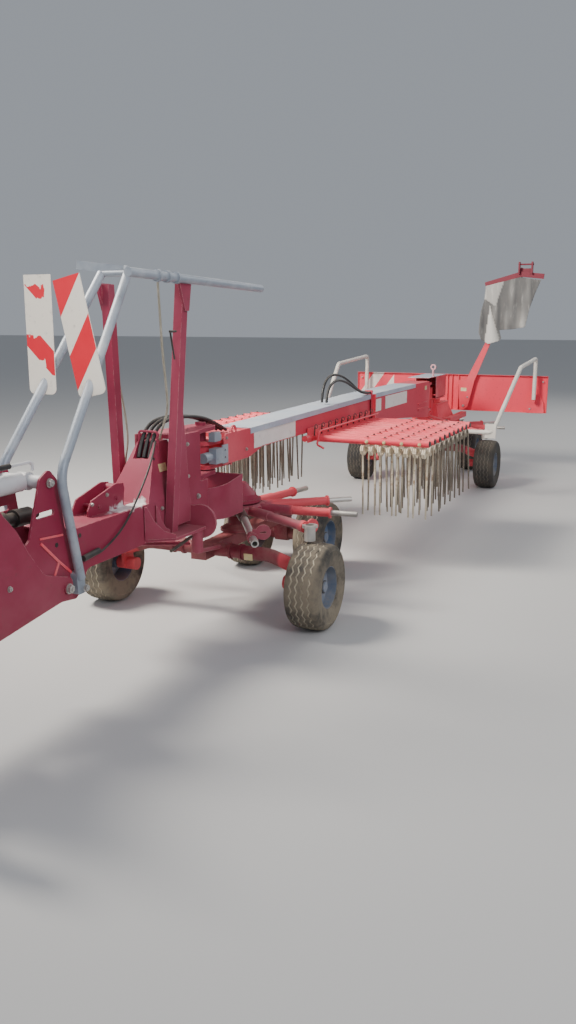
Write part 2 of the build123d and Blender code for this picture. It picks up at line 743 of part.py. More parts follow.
def lift_barrel():
    shape = eye(cylinder_pin_x, cylinder_pin_z, 62, 44)
    start = cylinder_pin_x + 26
    shape += rod((start, 0, cylinder_pin_z), (barrel_end, 0, cylinder_pin_z), barrel_diameter)
    shape += rod((barrel_end - 34, 0, cylinder_pin_z), (barrel_end, 0, cylinder_pin_z), barrel_diameter + 8)
    shape += bent_tube(pipe_route, [16.0, 16.0], pipe_diameter)
    shape -= rod((start + 64, 0, cylinder_pin_z), (barrel_end, 0, cylinder_pin_z), rod_diameter + 2 * pin_gap)
    return shape - cross_rod(cylinder_pin_x, cylinder_pin_z, 50, cylinder_pin_diameter + 2 * pin_gap)


def lift_rod():
    shape = eye(crank_top_x, cylinder_pin_z, 64, 44)
    start = cylinder_pin_x + 150
    shape += rod((start, 0, cylinder_pin_z), (crank_top_x - 24, 0, cylinder_pin_z), rod_diameter)
    return shape - cross_rod(crank_top_x, cylinder_pin_z, 50, cylinder_pin_diameter + rod_eye_play)


def pto_shaft():
    front = Vector(pto_front[0], 0, pto_front[1])
    rear = Vector(pto_rear[0], 0, pto_rear[1])
    line = (front - rear).normalized()
    shape = rod(rear, front, pto_core) + rod(front - line * pto_spline, front, pto_diameter)
    for near, far, diameter in pto_sleeves:
        shape += rod(rear + line * near, rear + line * far, diameter)
    return shape


# Beam, covers and the two racks of stowed arms
arm_height = beam_top[1] - rack_drop
retainer_height = arm_height + retainer_lift
lower_lug = (front_hinge_low + ear_thickness + hinge_gap, front_hinge_low + ear_thickness + hinge_gap + 20)
hinge_plate_outline = [(-70, 736), (-70, 850), (-84, 880), (-340, 880), (-344, 873), (-470, 872)]
hinge_plate_outline += [(-470, 765), (-360, 742), (-330, 736)]
lug_root = -160.0


def beam_level(x, levels):
    """Height of a sloping edge of the front beam at a place along it."""
    share = (x - beam_front) / (beam_joint - beam_front)
    return levels[0] + (levels[1] - levels[0]) * share


def main_beam():
    half = beam_half_width
    outline = [(beam_start, beam_level(beam_start, beam_top)), (beam_joint, beam_top[1])]
    outline += [(beam_joint, beam_bottom[1]), (beam_start, beam_level(beam_start, beam_bottom))]
    shape = prism(outline, "y", -half, half)
    plate = prism(hinge_plate_outline, "y", half, half + hinge_plate)
    plate += Pos(ring_x, half + hinge_plate / 2, ring_z) * Rot(90, 0, 0) * Cylinder(ring_radius, hinge_plate)
    plate -= Pos(ring_x, half + hinge_plate / 2, ring_z + 8) * Rot(90, 0, 0) * Cylinder(ring_hole, hinge_plate)
    shape += both_sides(plate)
    shape += block((lug_root, lug_root + 12), (-half, half), (lower_lug[0], upper_lug[1] + 20))
    shape += block((beam_start, lug_root), (-half, half), (lower_lug[0] + 14, lower_lug[0] + 26))
    shape += block((beam_start, lug_root), (-half, half), (upper_lug[1] + 8, upper_lug[1] + 20))
    shape += lug(0, *lower_lug, lug_root, half - 10)
    shape += lug(0, *upper_lug, lug_root, half - 10)
    sleeve_middle = (lower_lug[1] + upper_lug[0]) / 2
    shape += Pos(0, 0, sleeve_middle) * Cylinder(sleeve_diameter / 2, upper_lug[0] - lower_lug[1])
    return shape - hinge_bore(0, front_hinge_low, front_hinge_high)


def swing_fittings():
    """Plated valve block, ported plate and cylinder eye beside the front hinge."""
    half = beam_half_width
    block_low = block((-40, 28), (half - 22, half + 16), (751, 822))
    block_low += block((-96, -40), (half + hinge_plate, half + hinge_plate + 6), (745, 832))
    for z in (772, 806):
        block_low -= Pos(-66, half + hinge_plate + 3, z) * Rot(90, 0, 0) * Cylinder(6, 6)
    block_low += rod((28, 66, 786), (52, 66, 786), 30)
    block_low += rod((52, 66, 786), (104, 66, 786), 48)
    block_high = block((-28, 30), (half - 22, half + 10), (upper_lug[1] + 2, 897))
    block_high += block((-60, -28), (half - 12, half - 2), (upper_lug[1] + 2, 880))
    return pieces(block_low, block_high)


def rear_box():
    half = box_half_width
    outline = [(beam_joint, beam_top[1]), (beam_joint, box_bottom[0]), (box_end, box_bottom[1]), (box_end, beam_top[1])]
    shape = prism(outline, "y", -half, half)
    shape += block((beam_joint, beam_joint + 20), (44, half + 10), (beam_top[1] + cover_thickness, 932))
    shape += block((beam_joint, beam_joint + 20), (half + 4, half + 10), (780, 932))
    collar_top = beam_top[1] - cover_skirt - 2
    collar = [(beam_joint, collar_top), (beam_joint - 30, collar_top)]
    collar += [(beam_joint - 30, box_bottom[0] - 2), (beam_joint, box_bottom[0])]
    shape += both_sides(prism(collar, "y", half, half + 10))
    for low in (726, 682):
        shape += both_sides(block((box_end + 40, box_end + 335), (half, half + 8), (low, low + 14)))
    shape += ears(-carriage_spacing, rear_hinge_low, rear_hinge_high, box_end + 5, half)
    return shape + hinge_pin(-carriage_spacing, rear_hinge_low, rear_hinge_high)


def cover_length(start, stop, low_start, low_stop):
    """Cap and two skirts of the cover along one stretch."""
    edge = beam_half_width + 10
    up = cover_thickness
    cap = [(start, low_start), (stop, low_stop), (stop, low_stop + up), (start, low_start + up)]
    skirt = [(start, low_start - cover_skirt), (stop, low_stop - cover_skirt), (stop, low_stop + 1), (start, low_start + 1)]
    return prism(cap, "y", -edge, edge) + both_sides(prism(skirt, "y", edge - cover_sheet, edge))


def beam_cover():
    """Folded sheet that caps the beam and the box."""
    top = beam_top[1]
    front = cover_length(cover_start, beam_joint, beam_level(cover_start, beam_top), top)
    return front + cover_length(beam_joint, cover_end, top, top)


def arm_places():
    return [first_arm_x - index * arm_pitch for index in range(arm_count)]


def rack():
    """Carrier bar on the beam's left side with its spigots and the hooked retaining rod."""
    first = first_arm_x + 60
    last = first_arm_x - arm_pitch * (arm_count - 1) - 60
    inner = beam_half_width + hinge_plate
    shape = block((last, first), (inner, inner + 8), (arm_height - 22, arm_height + 60))
    for x in arm_places():
        shape += rod((x, inner + 4, arm_height), (x, arm_inner + spigot_depth, arm_height), spigot_diameter)
    shape += rod((first - 4, inner + 4, arm_height + 6), (first + 46, inner + 4, arm_height + 6), 34)
    outside = arm_inner + 24
    bar = [(last + 10, inner + 4, retainer_height), (last + 10, outside, retainer_height)]
    bar += [(first - 26, outside, retainer_height), (first + 6, outside, arm_height - 29)]
    bar += [(first + 20, outside + 46, arm_height - 45)]
    return shape + bent_tube(bar, [20.0, 24.0, 16.0], retainer_diameter)


def tine_arms():
    arms = []
    for x in arm_places():
        tube = rod((x, arm_inner, arm_height), (x, arm_outer, arm_height), arm_diameter)
        tube -= rod((x, arm_inner, arm_height), (x, arm_inner + spigot_depth, arm_height), spigot_diameter)
        arms.append(tube)
    return pieces(*arms)


def tine_places():
    """Middle of each coil along an arm."""
    places = []
    for index in range(tines_per_arm):
        middle = arm_outer - tine_outer_offset - coil_pair / 2 - index * tine_spacing
        places += [middle - coil_pair / 2, middle + coil_pair / 2]
    return places


coil_z = arm_height - arm_diameter / 2 - coil_diameter / 2 * math.cos(math.pi / 6)


def tine(x, y, lean):
    """Six-sided coil under the arm and a tapering square leg that hangs from it."""
    coil_plane = Plane(origin=(x, y - coil_width / 2, coil_z), z_dir=(0, 1, 0), x_dir=(1, 0, 0))
    shape = extrude(coil_plane * RegularPolygon(coil_diameter / 2, 6), amount=coil_width)
    side = x - coil_diameter / 2 + tine_size
    top = Plane(origin=(side, y, coil_z)) * Rectangle(tine_size, tine_size)
    foot = Plane(origin=(side - lean, y + lean / 2, coil_z - tine_length))
    return shape + loft([foot * Rectangle(tine_tip_size, tine_tip_size), top])


def tines():
    legs = []
    for row, x in enumerate(arm_places()):
        for column, y in enumerate(tine_places()):
            lean = 10.0 + 7.0 * ((3 * row + 5 * column) % 4)
            legs.append(tine(x, y, lean))
    return pieces(*legs)


# Rear carriage top: knuckle, pedestal, housing and panel arms
guard_y = panel_half_width - guard_inset
clamp_y = panel_half_width - clamp_inset
pivot_rear = -carriage_spacing
riser_x = (pivot_rear - 30, pivot_rear + 60)


def rear_housing():
    low = housing_low
    shape = knuckle(pivot_rear, rear_hinge_low, rear_hinge_high)
    back = pivot_rear - ear_radius - 24
    inside = (rear_hinge_low + ear_thickness + hinge_gap, rear_hinge_high - ear_thickness - hinge_gap)
    shape += block((back - 60, back), (-50, 50), (low, inside[1] - 30))
    shape += block((back, riser_x[0]), (-30, 30), (inside[0], inside[1] - 30))
    shape += block((pivot_rear - rotor_setback, riser_x[1]), (-60, 60), (low, low + 56))
    shape += block(riser_x, (-60, 60), (low, rear_hinge_low - ear_thickness))
    foot = Pos(-4345, 0, low + 18) * Rectangle(570, 216)
    head = Pos(-4265, 0, 678) * Rectangle(380, 160)
    shape += loft([foot, head])
    shape += block((-4456, -4075), (-92, 92), (678, 686))
    shape += block((-4330, -4005), (-92, 92), (730, 738))
    shape += block((-4300, -4092), (-50, 50), (686, 730))
    shape += gear_dome(pivot_rear) - block((-4640, -3900), (-200, 200), (low + 18, 700))
    shape -= hinge_bore(pivot_rear, rear_hinge_low, rear_hinge_high)
    arm_x = (panel_x + panel_sheet, pivot_rear - rotor_setback + 70)
    for y in (-150, 150):
        shape += block(arm_x, (y - 25, y + 25), (low + 4, low + 50))
        shape += block((arm_x[0], arm_x[0] + 10), (y - 40, y + 40), (low + 4, panel_bottom + 90))
    return shape + block((arm_x[1] - 60, arm_x[1]), (-175, 175), (low + 4, low + 50))


def head_cover():
    """Bent sheet over the rear hinge with the lifting eye on it."""
    edge = head_half_width
    sheet = head_sheet
    top = head_cover_z[1]
    shape = block(head_cover_x, (-edge - sheet, edge + sheet), (top, top + sheet))
    shape += both_sides(block(head_side_x, (edge, edge + sheet), (head_cover_z[0], top)))
    shape += block((head_side_x[0], head_side_x[0] + sheet), (-edge, edge), (head_cover_z[0], top))
    shape += rod((eye_x, eye_y, top), (eye_x, eye_y, eye_z - 16), 16)
    ring = Pos(eye_x, eye_y, eye_z) * Rot(0, 90, 0) * Cylinder(24, 12)
    return shape + ring - Pos(eye_x, eye_y, eye_z) * Rot(0, 90, 0) * Cylinder(13, 12)


def guard_arm(root_z):
    """Diagonal arm from the carriage top to the guard's clamp."""
    start = (pivot_rear + 40, 52, root_z)
    end = (clamp_x - 33, clamp_y - 93, clamp_z)
    return flat_bar(start, end, 44, 16, (0, 0, 1)) - rear_housing()


def rear_guard():
    corner = (clamp_x, clamp_y + 20, clamp_z)
    path = [(corner[0], corner[1] - clamp_bar, corner[2]), corner]
    path += [(guard_top_front[0], guard_y, guard_top_front[1]), (guard_top_rear[0], guard_y, guard_top_rear[1])]
    path += [(guard_foot[0], guard_y, guard_foot[1])]
    shape = bent_tube(path, [40.0, 70.0, 40.0], rail_diameter)
    plate = (clamp_x - 6, clamp_x + 6)
    return shape + block(plate, (corner[1] - 60, corner[1] + 24), (clamp_z - 44, clamp_z + 66))


# Rear panel with its ribs and the brackets that hold the guards' feet
bracket_outline = [(-84, 574), (-66, 562), (72, 562), (90, 578), (78, 664), (32, 736), (-56, 728)]
bracket_plate = 16.0


def rear_panel():
    half = panel_half_width
    face = panel_x + panel_sheet
    lip = panel_x + panel_lip
    shape = block((panel_x, face), (-half, half), (panel_bottom, panel_top))
    shape += block((panel_x, lip), (-half, half), (panel_top - 3, panel_top))
    shape += block((panel_x, lip), (-half, half), (panel_bottom, panel_bottom + 3))
    for y in (-half, *panel_ribs, half - 3):
        shape += block((panel_x, lip - 6), (y, y + 3), (panel_bottom, panel_top))
    bracket = prism(bracket_outline, "x", face, face + bracket_plate)
    bracket += block((face, guard_foot[0] + 4), (-13, 13), (guard_foot[1] - 24, guard_foot[1] + 40))
    bracket += block((face, face + 8), (6, 20), (728, panel_top - 6))
    return shape + both_sides(Pos(0, guard_y, 0) * bracket - rear_guard())


# Swath cloth and its arm
swath_x = panel_x + panel_lip + 14
swath_outline = [(100, 850), (112, 600), (150, 572), (190, 602), (246, 846), (376, 1184)]
swath_outline += [(668, 1842), (622, 1860), (328, 1184), (168, 850)]
bar_line = [(312, 1712), (625, 1800), (828, 1778)]
cloth_outline = [(315, 1686), (625, 1774), (822, 1752), (686, 1340), (462, 1300), (392, 1190), (300, 1205)]
cloth_outline += [(262, 1300)]


def swath_arm():
    half = swath_bar_thickness / 2
    shape = prism(swath_outline, "x", swath_x - half, swath_x + half)
    front = swath_x + 14
    for start, stop in zip(bar_line, bar_line[1:]):
        shape += flat_bar((front, *start), (front, *stop), 44, 16, (1, 0, 0))
    for y in (604, 716):
        shape += block((swath_x - 6, swath_x + 46), (y, y + 12), (1800, 1906))
    shape += block((swath_x - 6, swath_x + 6), (604, 728), (1800, 1850))
    shape += rod((swath_x + 24, 600, 1884), (swath_x + 24, 736, 1884), 14)
    foot = Pos(swath_x, *swath_pivot) * Rot(0, 90, 0)
    return shape - foot * Cylinder(swath_pin_diameter / 2 + pin_gap, 4 * swath_bar_thickness)


def swath_pin():
    return rod((panel_x + panel_sheet, *swath_pivot), (swath_x + 16, *swath_pivot), swath_pin_diameter)


def swath_cloth():
    return prism(cloth_outline, "x", swath_x + 8, swath_x + 8 + cloth_thickness)


# Routes of the hoses over the front hinge, the hoses on the beam, the cable and the ropes
hinge_hose_route = [(488, 842), (458, 918), (402, 972), (300, 990), (150, 984), (0, 961), (-112, 922), (-205, 884)]
hinge_hose_sides = (-26.0, 0.0, 26.0)
beam_hose_routes = [
    [(-1506, 14, 906), (-1510, 14, 972), (-1580, 12, 1044), (-1700, 10, 1068), (-1850, 14, 1050)]
    + [(-1985, 24, 1002), (-2085, 38, 948), (-2165, 52, 922), (-2229, 58, 919)],
    [(-1506, 44, 906), (-1512, 44, 958), (-1576, 43, 1012), (-1690, 42, 1034), (-1830, 46, 1016)]
    + [(-1950, 58, 972), (-2055, 74, 932), (-2150, 80, 919), (-2229, 82, 918)],
]
cable_route = [(1060, 106, 566), (1000, 112, 556), (920, 107, 574), (840, 111, 612), (765, 106, 660), (704, 108, 726)]
cable_route += [(640, 100, 780), (580, 86, 826), (520, 68, 872), (470, 46, 908)]
rope_routes = [
    [(672, 205, 1543), (664, 206, 1430), (652, 203, 1320), (630, 197, 1230), (600, 187, 1140)]
    + [(566, 171, 1060), (524, 122, 985), (486, 84, 945), (452, 58, 918)],
    [(427, -165, 1290), (404, -176, 1200), (380, -172, 1090), (372, -158, 980)]
    + [(366, -156, 880), (376, -172, 790), (388, -150, 700), (390, -104, 660)],
]


def corner_radii(points):
    """Arcs that take up most of the shorter run at each corner of a route."""
    radii = []
    for before, corner, after in zip(points, points[1:], points[2:]):
        first = Vector(*corner) - Vector(*before)
        second = Vector(*after) - Vector(*corner)
        half_turn = math.radians(first.get_angle(second)) / 2
        radii.append(0.45 * min(first.length, second.length) / math.tan(half_turn))
    return radii


def hose(name, points, diameter):
    radii = corner_radii(points)
    print(name, "radii", [round(radius) for radius in radii])
    return bent_tube(points, radii, diameter)


def hinge_hoses():
    routes = [[(x, y, z) for x, z in hinge_hose_route] for y in hinge_hose_sides]
    return pieces(*[hose("hinge hose", route, hose_diameter) for route in routes])


# Nodes
def assemble():
    nodes = {}
    nodes["front_frame"] = front_frame()
    nodes["swing_ears"] = swing_ears()
    nodes["joint_bowl"] = swing_bowl()
    nodes["front_housing"] = front_housing()
    nodes["front_posts"] = posts()
    nodes["guard_hoop"] = guard_hoop()
    nodes["top_rail"] = top_rail()
    nodes["warning_board_left"] = warning_board(1)
    nodes["warning_board_right"] = warning_board(-1)
    nodes["front_carriage"] = carriage(0)
    nodes["headstock"] = headstock()
    nodes["hitch_beam"] = hitch_beam()
    nodes["lift_barrel"] = lift_barrel()
    nodes["lift_rod"] = lift_rod()
    nodes["pto_shaft"] = pto_shaft()
    for name, x in (("front", 0.0), ("rear", pivot_rear)):
        nodes[name + "_rotor"] = rotor(x)
        nodes[name + "_rotor_pins"] = rotor_pins(x)
        nodes[name + "_left_tyre"] = at_wheel(tyre(), x - yoke_setback, outer_y)
        nodes[name + "_left_rim"] = at_wheel(rim(), x - yoke_setback, outer_y)
        nodes[name + "_right_tyre"] = at_wheel(tyre(), x - yoke_setback, -outer_y)
        nodes[name + "_right_rim"] = at_wheel(rim(), x - yoke_setback, -outer_y)
        inner = x - inner_setback
        nodes[name + "_inner_tyres"] = pieces(at_wheel(tyre(), inner, inner_y), at_wheel(tyre(), inner, -inner_y))
        nodes[name + "_inner_rims"] = pieces(at_wheel(rim(), inner, inner_y), at_wheel(rim(), inner, -inner_y))
    nodes["main_beam"] = main_beam()
    nodes["swing_fittings"] = swing_fittings()
    nodes["rear_box"] = rear_box()
    nodes["beam_cover"] = beam_cover()
    nodes["racks"] = pieces(rack(), mirrored(rack()))
    nodes["tine_arms_left"] = tine_arms()
    nodes["tine_arms_right"] = pieces(mirrored(tine_arms()))
    nodes["tines_left"] = tines()
    nodes["tines_right"] = pieces(mirrored(tines()))
    nodes["rear_carriage"] = carriage(pivot_rear)
    nodes["rear_housing"] = rear_housing()
    nodes["head_cover"] = head_cover()
    nodes["rear_panel"] = rear_panel()
    nodes["swath_pin"] = swath_pin()
    nodes["guard_arms"] = pieces(guard_arm(arm_root_left), mirrored(guard_arm(arm_root_right)))
    nodes["rear_guards"] = pieces(rear_guard(), mirrored(rear_guard()))
    nodes["swath_arm"] = swath_arm()
    nodes["swath_cloth"] = swath_cloth()
    nodes["hinge_hoses"] = hinge_hoses()
    nodes["beam_hoses"] = pieces(*[hose("beam hose", route, hose_diameter) for route in beam_hose_routes])
    nodes["side_cable"] = hose("side cable", cable_route, cable_diameter)
    nodes["ropes"] = pieces(*[hose("rope", route, rope_diameter) for route in rope_routes])
    return nodes


nodes = assemble()
bounds = [shape.bounding_box() for shape in nodes.values()]
low = [min(getattr(b.min, axis) for b in bounds) for axis in ("X", "Y", "Z")]
high = [max(getattr(b.max, axis) for b in bounds) for axis in ("X", "Y", "Z")]
shift = (-(low[0] + high[0]) / 2, -(low[1] + high[1]) / 2, -low[2])
print("shift", [round(value, 3) for value in shift], "size", [round(high[i] - low[i], 1) for i in range(3)])

os.makedirs("parts", exist_ok=True)
for name, shape in nodes.items():
    export_step(Pos(*shift) * shape, "parts/" + name + ".step")
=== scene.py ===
import json
import math
import random

import bmesh
import bpy
from bpy.props import FloatProperty, FloatVectorProperty, IntProperty, PointerProperty
from mathutils import Matrix, Vector


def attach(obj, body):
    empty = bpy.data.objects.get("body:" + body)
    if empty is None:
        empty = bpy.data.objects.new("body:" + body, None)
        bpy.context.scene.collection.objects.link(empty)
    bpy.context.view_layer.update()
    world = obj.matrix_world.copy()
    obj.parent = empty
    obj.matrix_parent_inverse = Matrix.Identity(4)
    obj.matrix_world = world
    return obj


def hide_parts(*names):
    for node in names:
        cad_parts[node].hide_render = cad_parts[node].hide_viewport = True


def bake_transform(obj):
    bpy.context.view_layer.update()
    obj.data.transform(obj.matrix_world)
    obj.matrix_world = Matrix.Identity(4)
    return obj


bl_info = {
    "name": "Rotary rake",
    "version": (1, 0, 0),
    "blender": (4, 5, 0),
    "location": "View3D > Sidebar > Rake",
    "description": "Dresses the packed frame of a towed rotary rake with its fine pieces and finishes",
    "category": "Object",
}

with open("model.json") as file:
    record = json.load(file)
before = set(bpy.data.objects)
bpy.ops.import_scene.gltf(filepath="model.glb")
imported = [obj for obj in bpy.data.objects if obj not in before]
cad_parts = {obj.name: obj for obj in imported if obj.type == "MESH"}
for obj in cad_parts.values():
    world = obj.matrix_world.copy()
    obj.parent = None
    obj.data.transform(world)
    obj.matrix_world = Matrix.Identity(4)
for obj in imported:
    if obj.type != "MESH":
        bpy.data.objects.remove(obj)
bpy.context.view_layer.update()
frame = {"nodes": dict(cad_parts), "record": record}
NODES = frame["nodes"]

# Places are given from the front axle, X forward, Y to the left, Z up, in metres
AXLE = 1.5645
REAR_PIVOT = -3.920
BEAM_SIDE = 0.080
BOX_SIDE = 0.086
ARM_PLACES = [-1.150 - 0.112 * index for index in range(10)]
ARM_END = 0.790
ARM_TOP = 0.7552
ARM_MIDDLE = 0.735
ARM_UNDERSIDE = 0.7135
TINE_MIDDLES = [ARM_END - 0.051 - 0.102 * index for index in range(4)]

# The ways that a bolt, plate or strip faces, and the sides that have one
SIDE = (0, 1, 0)
AHEAD = (1, 0, 0)
UP = (0, 0, 1)
LEFT = (1,)
BOTH = (1, -1)


def place(x, y, z):
    """A point given from the front axle, in the frame's own coordinates."""
    return Vector((x + AXLE, y, z))


# Shader helpers
class Tree:
    """Places nodes in a node tree and links or sets their inputs."""

    def __init__(self, tree):
        self.tree = tree
        self.tree.nodes.clear()

    def fill(self, socket, value):
        if isinstance(value, bpy.types.NodeSocket):
            self.tree.links.new(value, socket)
        elif socket.type == "RGBA":
            socket.default_value = (*value[:3], 1.0)
        else:
            socket.default_value = value

    def add(self, kind, inputs=None, **settings):
        node = self.tree.nodes.new("ShaderNode" + kind)
        for key, value in settings.items():
            setattr(node, key, value)
        for key, value in (inputs or {}).items():
            self.fill(node.inputs[key], value)
        return node

    def math(self, operation, first, second=0.0, clamp=False):
        return self.add("Math", {0: first, 1: second}, operation=operation, use_clamp=clamp).outputs[0]

    def times(self, first, second, clamp=False):
        return self.math("MULTIPLY", first, second, clamp)

    def plus(self, first, second, clamp=False):
        return self.math("ADD", first, second, clamp)

    def minus(self, first, second):
        return self.math("SUBTRACT", first, second)

    def rest(self, share):
        """What a share leaves of 1."""
        return self.minus(1.0, share)

    def mix(self, share, first, second):
        return self.add("Mix", {"Factor": share, 6: first, 7: second}, data_type="RGBA").outputs[2]

    def step(self, value, low, high):
        """0 below low, 1 above high, smooth between."""
        limits = {"Value": value, "From Min": low, "From Max": high}
        return self.add("MapRange", limits, interpolation_type="SMOOTHSTEP").outputs[0]

    def between(self, value, low, high, soft=0.006):
        """1 where a value lies between two others, 0 elsewhere."""
        return self.times(self.step(value, low, low + soft), self.rest(self.step(value, high, high + soft)))

    def where(self, kind="Object"):
        return self.add("TexCoord").outputs[kind]

    def noise(self, scale, detail=4.0, rough=0.55, vector=None):
        spot = self.where() if vector is None else vector
        inputs = {"Vector": spot, "Scale": scale, "Detail": detail, "Roughness": rough}
        return self.add("TexNoise", inputs).outputs["Fac"]

    def vector(self, operation, first, second=(0, 0, 0)):
        node = self.add("VectorMath", {0: first, 1: second}, operation=operation)
        return node.outputs["Value" if operation in ("LENGTH", "DOT_PRODUCT") else "Vector"]

    def reach(self, centre, scale):
        """Distance from a place, each axis scaled."""
        offset = self.vector("SUBTRACT", self.where(), centre)
        return self.vector("LENGTH", self.vector("MULTIPLY", offset, scale))

    def axis(self, name, vector=None):
        """X, Y or Z of the place, or of a vector."""
        return self.add("SeparateXYZ", {0: self.where() if vector is None else vector}).outputs[name]

    def facing(self, name):
        return self.axis(name, self.add("NewGeometry").outputs["Normal"])

    def attribute(self, name):
        return self.add("Attribute", attribute_name=name).outputs["Fac"]


# Inputs of the weathered surface: a finish's row in the table gives all but the last
SURFACE_INPUTS = {
    "Base": (0.5, 0.1, 0.1), "Faded": (0.7, 0.3, 0.3), "Bare": (0.25, 0.16, 0.12), "Patch scale": 3.0,
    "Fading": 0.5, "Edge wear and highlight": 0.5, "Dust amount": 0.4, "Roughness": 0.45, "Dust": (0.36, 0.30, 0.23),
}
GRIME = (0.10, 0.055, 0.045)
EDGE_RADIUS = 0.0035


def weathered_group():
    """Fading, grime, edge wear with a painted highlight along the edges, and ground dust over one base
    colour.
    """
    group = bpy.data.node_groups.get("Weathered surface")
    if group:
        return group
    group = bpy.data.node_groups.new("Weathered surface", "ShaderNodeTree")
    for title, value in SURFACE_INPUTS.items():
        kind = "NodeSocketColor" if isinstance(value, tuple) else "NodeSocketFloat"
        socket = group.interface.new_socket(title, in_out="INPUT", socket_type=kind)
        socket.default_value = (*value, 1.0) if isinstance(value, tuple) else value
    for title, kind in (("Color", "Color"), ("Roughness", "Float"), ("Height", "Float")):
        group.interface.new_socket(title, in_out="OUTPUT", socket_type="NodeSocket" + kind)
    t = Tree(group)
    given = group.nodes.new("NodeGroupInput").outputs
    where = t.where()
    patches = t.noise(given["Patch scale"], 5.0, vector=where)
    fine = t.noise(38.0, 6.0, 0.65, where)
    grain = t.noise(240.0, 2.0, vector=where)
    normal = t.add("NewGeometry").outputs["Normal"]
    facing = t.axis("Z", normal)
    faded_top = t.times(t.step(facing, 0.2, 0.95), 0.35)
    faded_patch = t.times(t.step(patches, 0.42, 0.70), 0.75)
    fading = t.times(t.plus(faded_top, faded_patch), given["Fading"], clamp=True)
    paint = t.mix(fading, given["Base"], given["Faded"])
    paint = t.mix(t.times(t.step(fine, 0.56, 0.80), 0.42), paint, GRIME)
    # Edges take the bare colour: worn paint, and on the red paints a pale pink painted highlight along the
    # edges.
    rounded = t.add("Bevel", {"Radius": EDGE_RADIUS}, samples=4).outputs[0]
    edge = t.step(t.rest(t.vector("DOT_PRODUCT", rounded, normal)), 0.015, 0.16)
    broken = t.step(t.plus(fine, t.times(patches, 0.5)), 0.66, 0.86)
    worn_and_lit_edges = t.times(t.times(edge, broken), given["Edge wear and highlight"], clamp=True)
    paint = t.mix(t.times(worn_and_lit_edges, 0.85), paint, given["Bare"])
    low = t.rest(t.step(t.axis("Z", where), 0.05, 0.75))
    settled = t.plus(t.times(low, 0.65), t.times(t.step(facing, 0.5, 1.0), 0.35))
    dusty = t.times(settled, t.step(t.plus(patches, t.times(fine, 0.6)), 0.52, 0.98))
    dust = t.times(dusty, given["Dust amount"], clamp=True)
    paint = t.mix(dust, paint, given["Dust"])
    rough = t.plus(given["Roughness"], t.times(t.plus(dust, fading), 0.22))
    rough = t.plus(rough, t.times(fine, 0.10), clamp=True)
    relief = t.minus(t.plus(t.times(grain, 0.35), t.times(fine, 0.65)), t.times(worn_and_lit_edges, 0.8))
    made = group.nodes.new("NodeGroupOutput").inputs
    for title, value in (("Color", paint), ("Roughness", rough), ("Height", relief)):
        group.links.new(value, made[title])
    return group


def chosen(value):
    """A value of the table, or the user's own where a word names it."""
    return getattr(bpy.context.scene.rake_paint, value) if isinstance(value, str) else value


class Finish(Tree):
    """A row of the table of finishes as a material, worked over by its own function where it has one."""

    def __init__(self, word):
        title, *values, more = FINISHES[word]
        self.material = bpy.data.materials.new(title)
        self.material.use_nodes = True
        super().__init__(self.material.node_tree)
        surface = self.tree.nodes.new("ShaderNodeGroup")
        surface.node_tree = weathered_group()
        for name, value in zip(SURFACE_INPUTS, values):
            self.fill(surface.inputs[name], chosen(value))
        self.colour = surface.outputs["Color"]
        self.rough = surface.outputs["Roughness"]
        self.body = self.add("BsdfPrincipled", {"Base Color": self.colour, "Roughness": self.rough})
        self.bump(surface.outputs["Height"], more.get("Bump", 0.0006), 0.6)
        for name, value in more.items():
            for node in (surface, self.body):
                if name in node.inputs:
                    self.fill(node.inputs[name], value)
        self.add("OutputMaterial", {"Surface": self.body.outputs[0]}).is_active_output = True
        if word in WORKED_OVER:
            WORKED_OVER[word](self)

    def bump(self, height, distance, strength):
        relief = self.add("Bump", {"Height": height, "Distance": distance, "Strength": strength})
        self.fill(self.body.inputs["Normal"], relief.outputs[0])

    def paint(self, colour):
        self.fill(self.body.inputs["Base Color"], colour)


# Lighter red of the sunlit outer ends of carriages and rotor arms: painted sunlight.
SUNLIT_RED = (0.72, 0.085, 0.105)
GREY_SHEET = ((0.37, 0.43, 0.52), (0.52, 0.56, 0.62))
